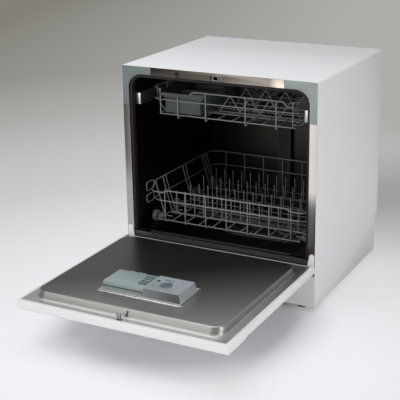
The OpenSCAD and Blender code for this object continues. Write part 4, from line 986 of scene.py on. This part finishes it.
def make_dispenser_details():
    """A ribbed thumb rest on the lid, and small raised bars and studs beside the cap."""
    u, v = np.meshgrid(np.linspace(0, 1, 61), np.linspace(0, 1, 91))

    def plate(shell, x0, x1, y0, y1, base, rise, cols, rows, sink):
        """A raised plate with soft edges, sunk between its columns and rows in two fields."""
        slot_x = smooth(np.abs(((u * cols) % 1) - 0.5), 0.34, 0.38)
        half = (v * 2) % 1
        slot_y = smooth(np.abs((((half - 0.5) * 1.14 + 0.5) * rows % 1) - 0.5), 0.30, 0.35)
        slot_y = np.maximum(slot_y, smooth(np.abs(half - 0.5), 0.43, 0.45))
        well = 1 - np.maximum(slot_x, slot_y)
        rim = smooth(np.minimum(np.minimum(u, 1 - u) * (x1 - x0), np.minimum(v, 1 - v) * (y1 - y0)), 0, 0.9)
        z = base - 0.3 + (rise + 0.3) * rim - sink * well * rim
        points = np.stack([x0 + (x1 - x0) * u, y0 + (y1 - y0) * v, z], -1)
        shell.grid(points, closed_cols=False, out=(0, 0, 1))

    s = Shell()
    plate(s, -19.5, 3.0, -611.0, -557.0, LID_TOP, 0.6, 3, 3, 0.5)
    s.make("lid_thumb_rest", "detergent_lid", THUMB_GREY, "lid_plastic", wall=0.3)
    s = Shell()
    for i in range(4):
        slab(s, 30.0 + 7 * i, 33.0 + 7 * i, -570.0, -560.0, LID_TOP - 0.4, LID_TOP + 0.9, 1.4, 0.5)
    for x, y in ((74.0, -560.0), (84.0, -560.0), (74.0, -618.0)):
        lathe(s, [(2.2, -0.4), (2.2, 0.5), (1.8, 0.9), (0.4, 1.0)], (x, y, LID_TOP), "z", 20)
    s.make("dispenser_marks", "door", CAP_GREY, "dark_grey_plastic")


STRIKE_SLOT = (-6.5, 7.5, 575.6, 586.8)


def make_strike_dish():
    """The pressing round the lock's slot: outlines shrink from a soft oval, long to the left, to the slot,
    and the face bows out a little between them; a lip of bright sheet edges the slot."""
    s = Shell()
    x0, x1, z0, z1 = STRIKE_SLOT
    inner = loop((x0 + x1) / 2, (z0 + z1) / 2, (x1 - x0) / 2, (z1 - z0) / 2, 1.2)
    outer = loop(-48, 581.4, 68, 7.8, 7.6)
    rows = []
    for t in np.linspace(0, 1, 9):
        flat = outer * (1 - t) + inner * t
        lift = 0.16 * math.sin(math.pi * t) ** 2
        rows.append(np.column_stack([flat[:, 0], np.full(len(flat), FRONT_Y - 0.04 - lift), flat[:, 1]]))
    s.grid(np.stack(rows), out=(0, -1, 0))
    s.make("strike_dish", "root", FRAME_STEEL, "polished_steel", wall=0.04)
    s = Shell()
    edge = np.column_stack([inner[:, 0], np.full(len(inner), FRONT_Y - 0.05), inner[:, 1]])
    tube(s, edge, 0.4, (0, 1, 0), 8, closed=True)
    s.make("strike_lip", "root", HINGE_STEEL, "hinge_steel")


def make_hinge_covers():
    """White moulded covers at the lower corners of the opening: outlines that shrink and come forward by a
    hair."""
    s = Shell()
    for side in (-1, 1):
        rows = []
        for back, out in ((0, 0.02), (0.5, 0.3), (2.0, 0.42), (5.0, 0.44)):
            flat = loop(side * 263.6, 136.5, 9.4 - back, 19.0 - back, max(7.0 - back, 1.0))
            inner = flat[:, 0] * side < 263.6
            flat[:, 0] += side * 5.0 * inner * smooth(flat[:, 1], 124.0, 154.0)
            rows.append(np.column_stack([flat[:, 0], np.full(len(flat), FRONT_Y - out), flat[:, 1]]))
        s.grid(np.stack(rows), caps=True, out=(0, -1, 0))
    s.make("hinge_covers", "root", GLOSS, "white_plastic")


def make_cabinet_details():
    """Screws on the back: up its sides, along its top, and a row lower down, set in."""
    s = Shell()
    for z in (150.0, 260.0, 370.0, 480.0, 575.0):
        for x in (-262.0, 262.0):
            screw(s, (x, 238.6, z), "y", rise=0.38)
    for x in (-150.0, 0.0, 150.0):
        screw(s, (x, 238.6, 584.0), "y", rise=0.38)
    for x in (-255.0, -90.0, 40.0, 255.0):
        screw(s, (x, 221.0, 104.0), "y")
    s.make("back_screws", "root", HINGE_STEEL, "hinge_steel")


make_liner()
make_hook_place()
make_door_trim()
make_lower_rack()
make_upper_rack()
for i, y in enumerate(LOWER_WHEELS_Y):
    make_wheels(f"lower_wheels_{i + 1}", 229.0, y, LOWER_WHEELS_Z, 15.7, 11.0, 3.06)
for i, y in enumerate(UPPER_WHEELS_Y):
    make_wheels(f"upper_wheels_{i + 1}", 239.0, y, UPPER_WHEELS_Z, 13.0, 6.0, 3.06)
make_arm("lower_spray_arm", 122.0, [(19, 1), (19, 12.5), (17, 14.6), (12, 15), (3, 15)])
make_arm("upper_spray_arm", 428.6, [(15, -2), (15, 9), (13.5, 12), (7.1, 12)])
make_dispenser_details()
make_strike_dish()
make_hinge_covers()
make_cabinet_details()

# ---------------------------------------------------------------- studio

FLOOR_NEAR, FLOOR_LEFT, FLOOR_RIGHT = (245, 245, 248), (132, 129, 122), (173, 173, 170)
# painted shadow tone for the floor behind the cabinet
FLOOR_SHADED = (146, 143, 141)
WORLD_GREY, WORLD_LEVEL = (208, 208, 209), 0.54
CAMERA_AT = (1.167442, -2.492388, 1.119454)
CAMERA_ANGLES = (27.213, 17.891, -0.690)
CAMERA_LENS, CAMERA_SHIFT = 93.2, (-0.0492, -0.0352)


def length(x, y):
    """How far a place lies from zero."""
    return (x * x + y * y) ** 0.5


def make_floor():
    """A round floor. What the camera sees is partly its own glow, a painted pool of light: pale near the
    object, fading with the distance to darker tones, darkest to the left, with a painted shadow behind the
    cabinet; the glow is weak under the door, where the shadow stays deep."""
    s = Shell()
    r = np.concatenate([[0.02], np.geomspace(0.5, 16, 26)]) * 1000
    a = np.arange(96) * TURN / 96
    ring = np.stack([r[:, None] * np.cos(a), r[:, None] * np.sin(a), np.zeros((len(r), 96))], -1)
    s.grid(ring, out=(0, 0, 1))
    f = Finish("studio_floor", FLOOR_NEAR, 0.75)
    x, y, z = f.place()
    across = x + 0.3 * y
    # painted pool of light: the glow fades with the distance from the object, faster to the right
    far = length(x - 0.2, y + 0.6) * (1 + 0.8 * (across + 0.2).above(0, 1))
    near = f.ramp(far / 4.0, (0.45, 1.0), (0.8, 0.80), (1.0, 0.68), (1.4, 0.44), (1.9, 0.33), (2.5, 0.15),
                  (3.4, 0.0), scale=4.0)
    away = f.mix(across.above(-2.5, 0.0), srgb(*FLOOR_LEFT), srgb(*FLOOR_RIGHT))
    grain = f.noise(3, 2)
    f.set("Base Color", f.mix(grain * 0.04, f.base, srgb(200, 200, 200)))
    f.set("Roughness", 0.7 + 0.1 * grain)
    # painted shadow of the cabinet on the floor behind it
    cast_shadow_behind = 1 - length(x - 0.12, y - 0.72).above(0.1, 0.62)
    glow = f.node("ShaderNodeEmission", None, {
        0: f.mix(cast_shadow_behind * 0.75, f.mix(near, away, f.base), srgb(*FLOOR_SHADED))})
    seen = Value(f.tree, f.node("ShaderNodeLightPath").outputs["Is Camera Ray"])
    under = 1 - length((x + 0.03) / 0.36, (y + 0.40) / 0.32).above(0.8, 1.15)
    share = seen * (0.62 - 0.6 * under + 0.38 * far.above(0.7, 1.5))
    both = f.node("ShaderNodeMixShader", None, {0: share, 1: f.shader.outputs[0], 2: glow.outputs[0]})
    f.tree.links.new(both.outputs[0], f.out.inputs[0])
    mesh = bpy.data.meshes.new("floor")
    floor = bpy.data.objects.new("floor", mesh)
    points = np.concatenate(s.points) * MM
    mesh.from_pydata(points.tolist(), [], np.concatenate(s.faces).tolist())
    mesh.materials.append(f.material)
    bpy.context.scene.collection.objects.link(floor)


def make_world():
    """Even grey light; what the camera sees past the floor's edge has the floor's far tone."""
    world = bpy.data.worlds.new("studio")
    bpy.context.scene.world = world
    world.use_nodes = True
    tree = world.node_tree
    tree.nodes.clear()
    ray = add_node(tree, "ShaderNodeLightPath").outputs["Is Camera Ray"]
    light = add_node(tree, "ShaderNodeBackground", None, {0: srgb(*WORLD_GREY), 1: WORLD_LEVEL})
    seen = add_node(tree, "ShaderNodeBackground", None, {0: srgb(*FLOOR_RIGHT)})
    both = add_node(tree, "ShaderNodeMixShader", None, {0: ray, 1: light.outputs[0], 2: seen.outputs[0]})
    add_node(tree, "ShaderNodeOutputWorld", None, {0: both.outputs[0]})


def lamp(name, at, look, size, watts, colour):
    """A square softbox aimed at a point."""
    data = bpy.data.lights.new(name, "AREA")
    data.shape, data.size, data.energy, data.color = "SQUARE", size, watts, colour
    item = bpy.data.objects.new(name, data)
    z = unit(np.array(at, float) - np.array(look, float))
    x = unit(np.cross([0, 1, 0.01], z))
    y = np.cross(z, x)
    for k, column in enumerate((x, y, z, at)):
        for row in range(3):
            item.matrix_world[row][k] = column[row]
    bpy.context.scene.collection.objects.link(item)


def make_camera():
    """The photograph's camera: place, three angles, focal length and shifted frame."""
    az, el, roll = (math.radians(v) for v in CAMERA_ANGLES)
    ahead = np.array([-math.sin(az) * math.cos(el), math.cos(az) * math.cos(el), -math.sin(el)])
    right = unit(np.cross(ahead, [0, 0, 1]))
    up = np.cross(right, ahead)
    r = right * math.cos(roll) + up * math.sin(roll)
    u = -right * math.sin(roll) + up * math.cos(roll)
    data = bpy.data.cameras.new("camera")
    data.lens, data.sensor_width = CAMERA_LENS, 36.0
    data.shift_x, data.shift_y = CAMERA_SHIFT
    data.clip_start, data.clip_end = 0.05, 60
    camera = bpy.data.objects.new("camera", data)
    for k, column in enumerate((r, u, -ahead, CAMERA_AT)):
        for row in range(3):
            camera.matrix_world[row][k] = column[row]
    bpy.context.scene.collection.objects.link(camera)
    bpy.context.scene.camera = camera


make_floor()
make_world()
lamp("overhead", (-0.3, -0.6, 2.6), (0, -0.1, 0.3), 2.4, 43, (0.95, 0.97, 1.0))
lamp("side_fill", (2.4, -1.3, 0.3), (0.2, -0.2, 0.1), 1.2, 20, (1.0, 0.995, 0.985))
lamp("front_fill", (-1.0, -3.0, 0.8), (0, -0.4, 0.2), 1.6, 20, (1.0, 0.985, 0.96))
make_camera()
bpy.context.scene.view_settings.view_transform = "Standard"
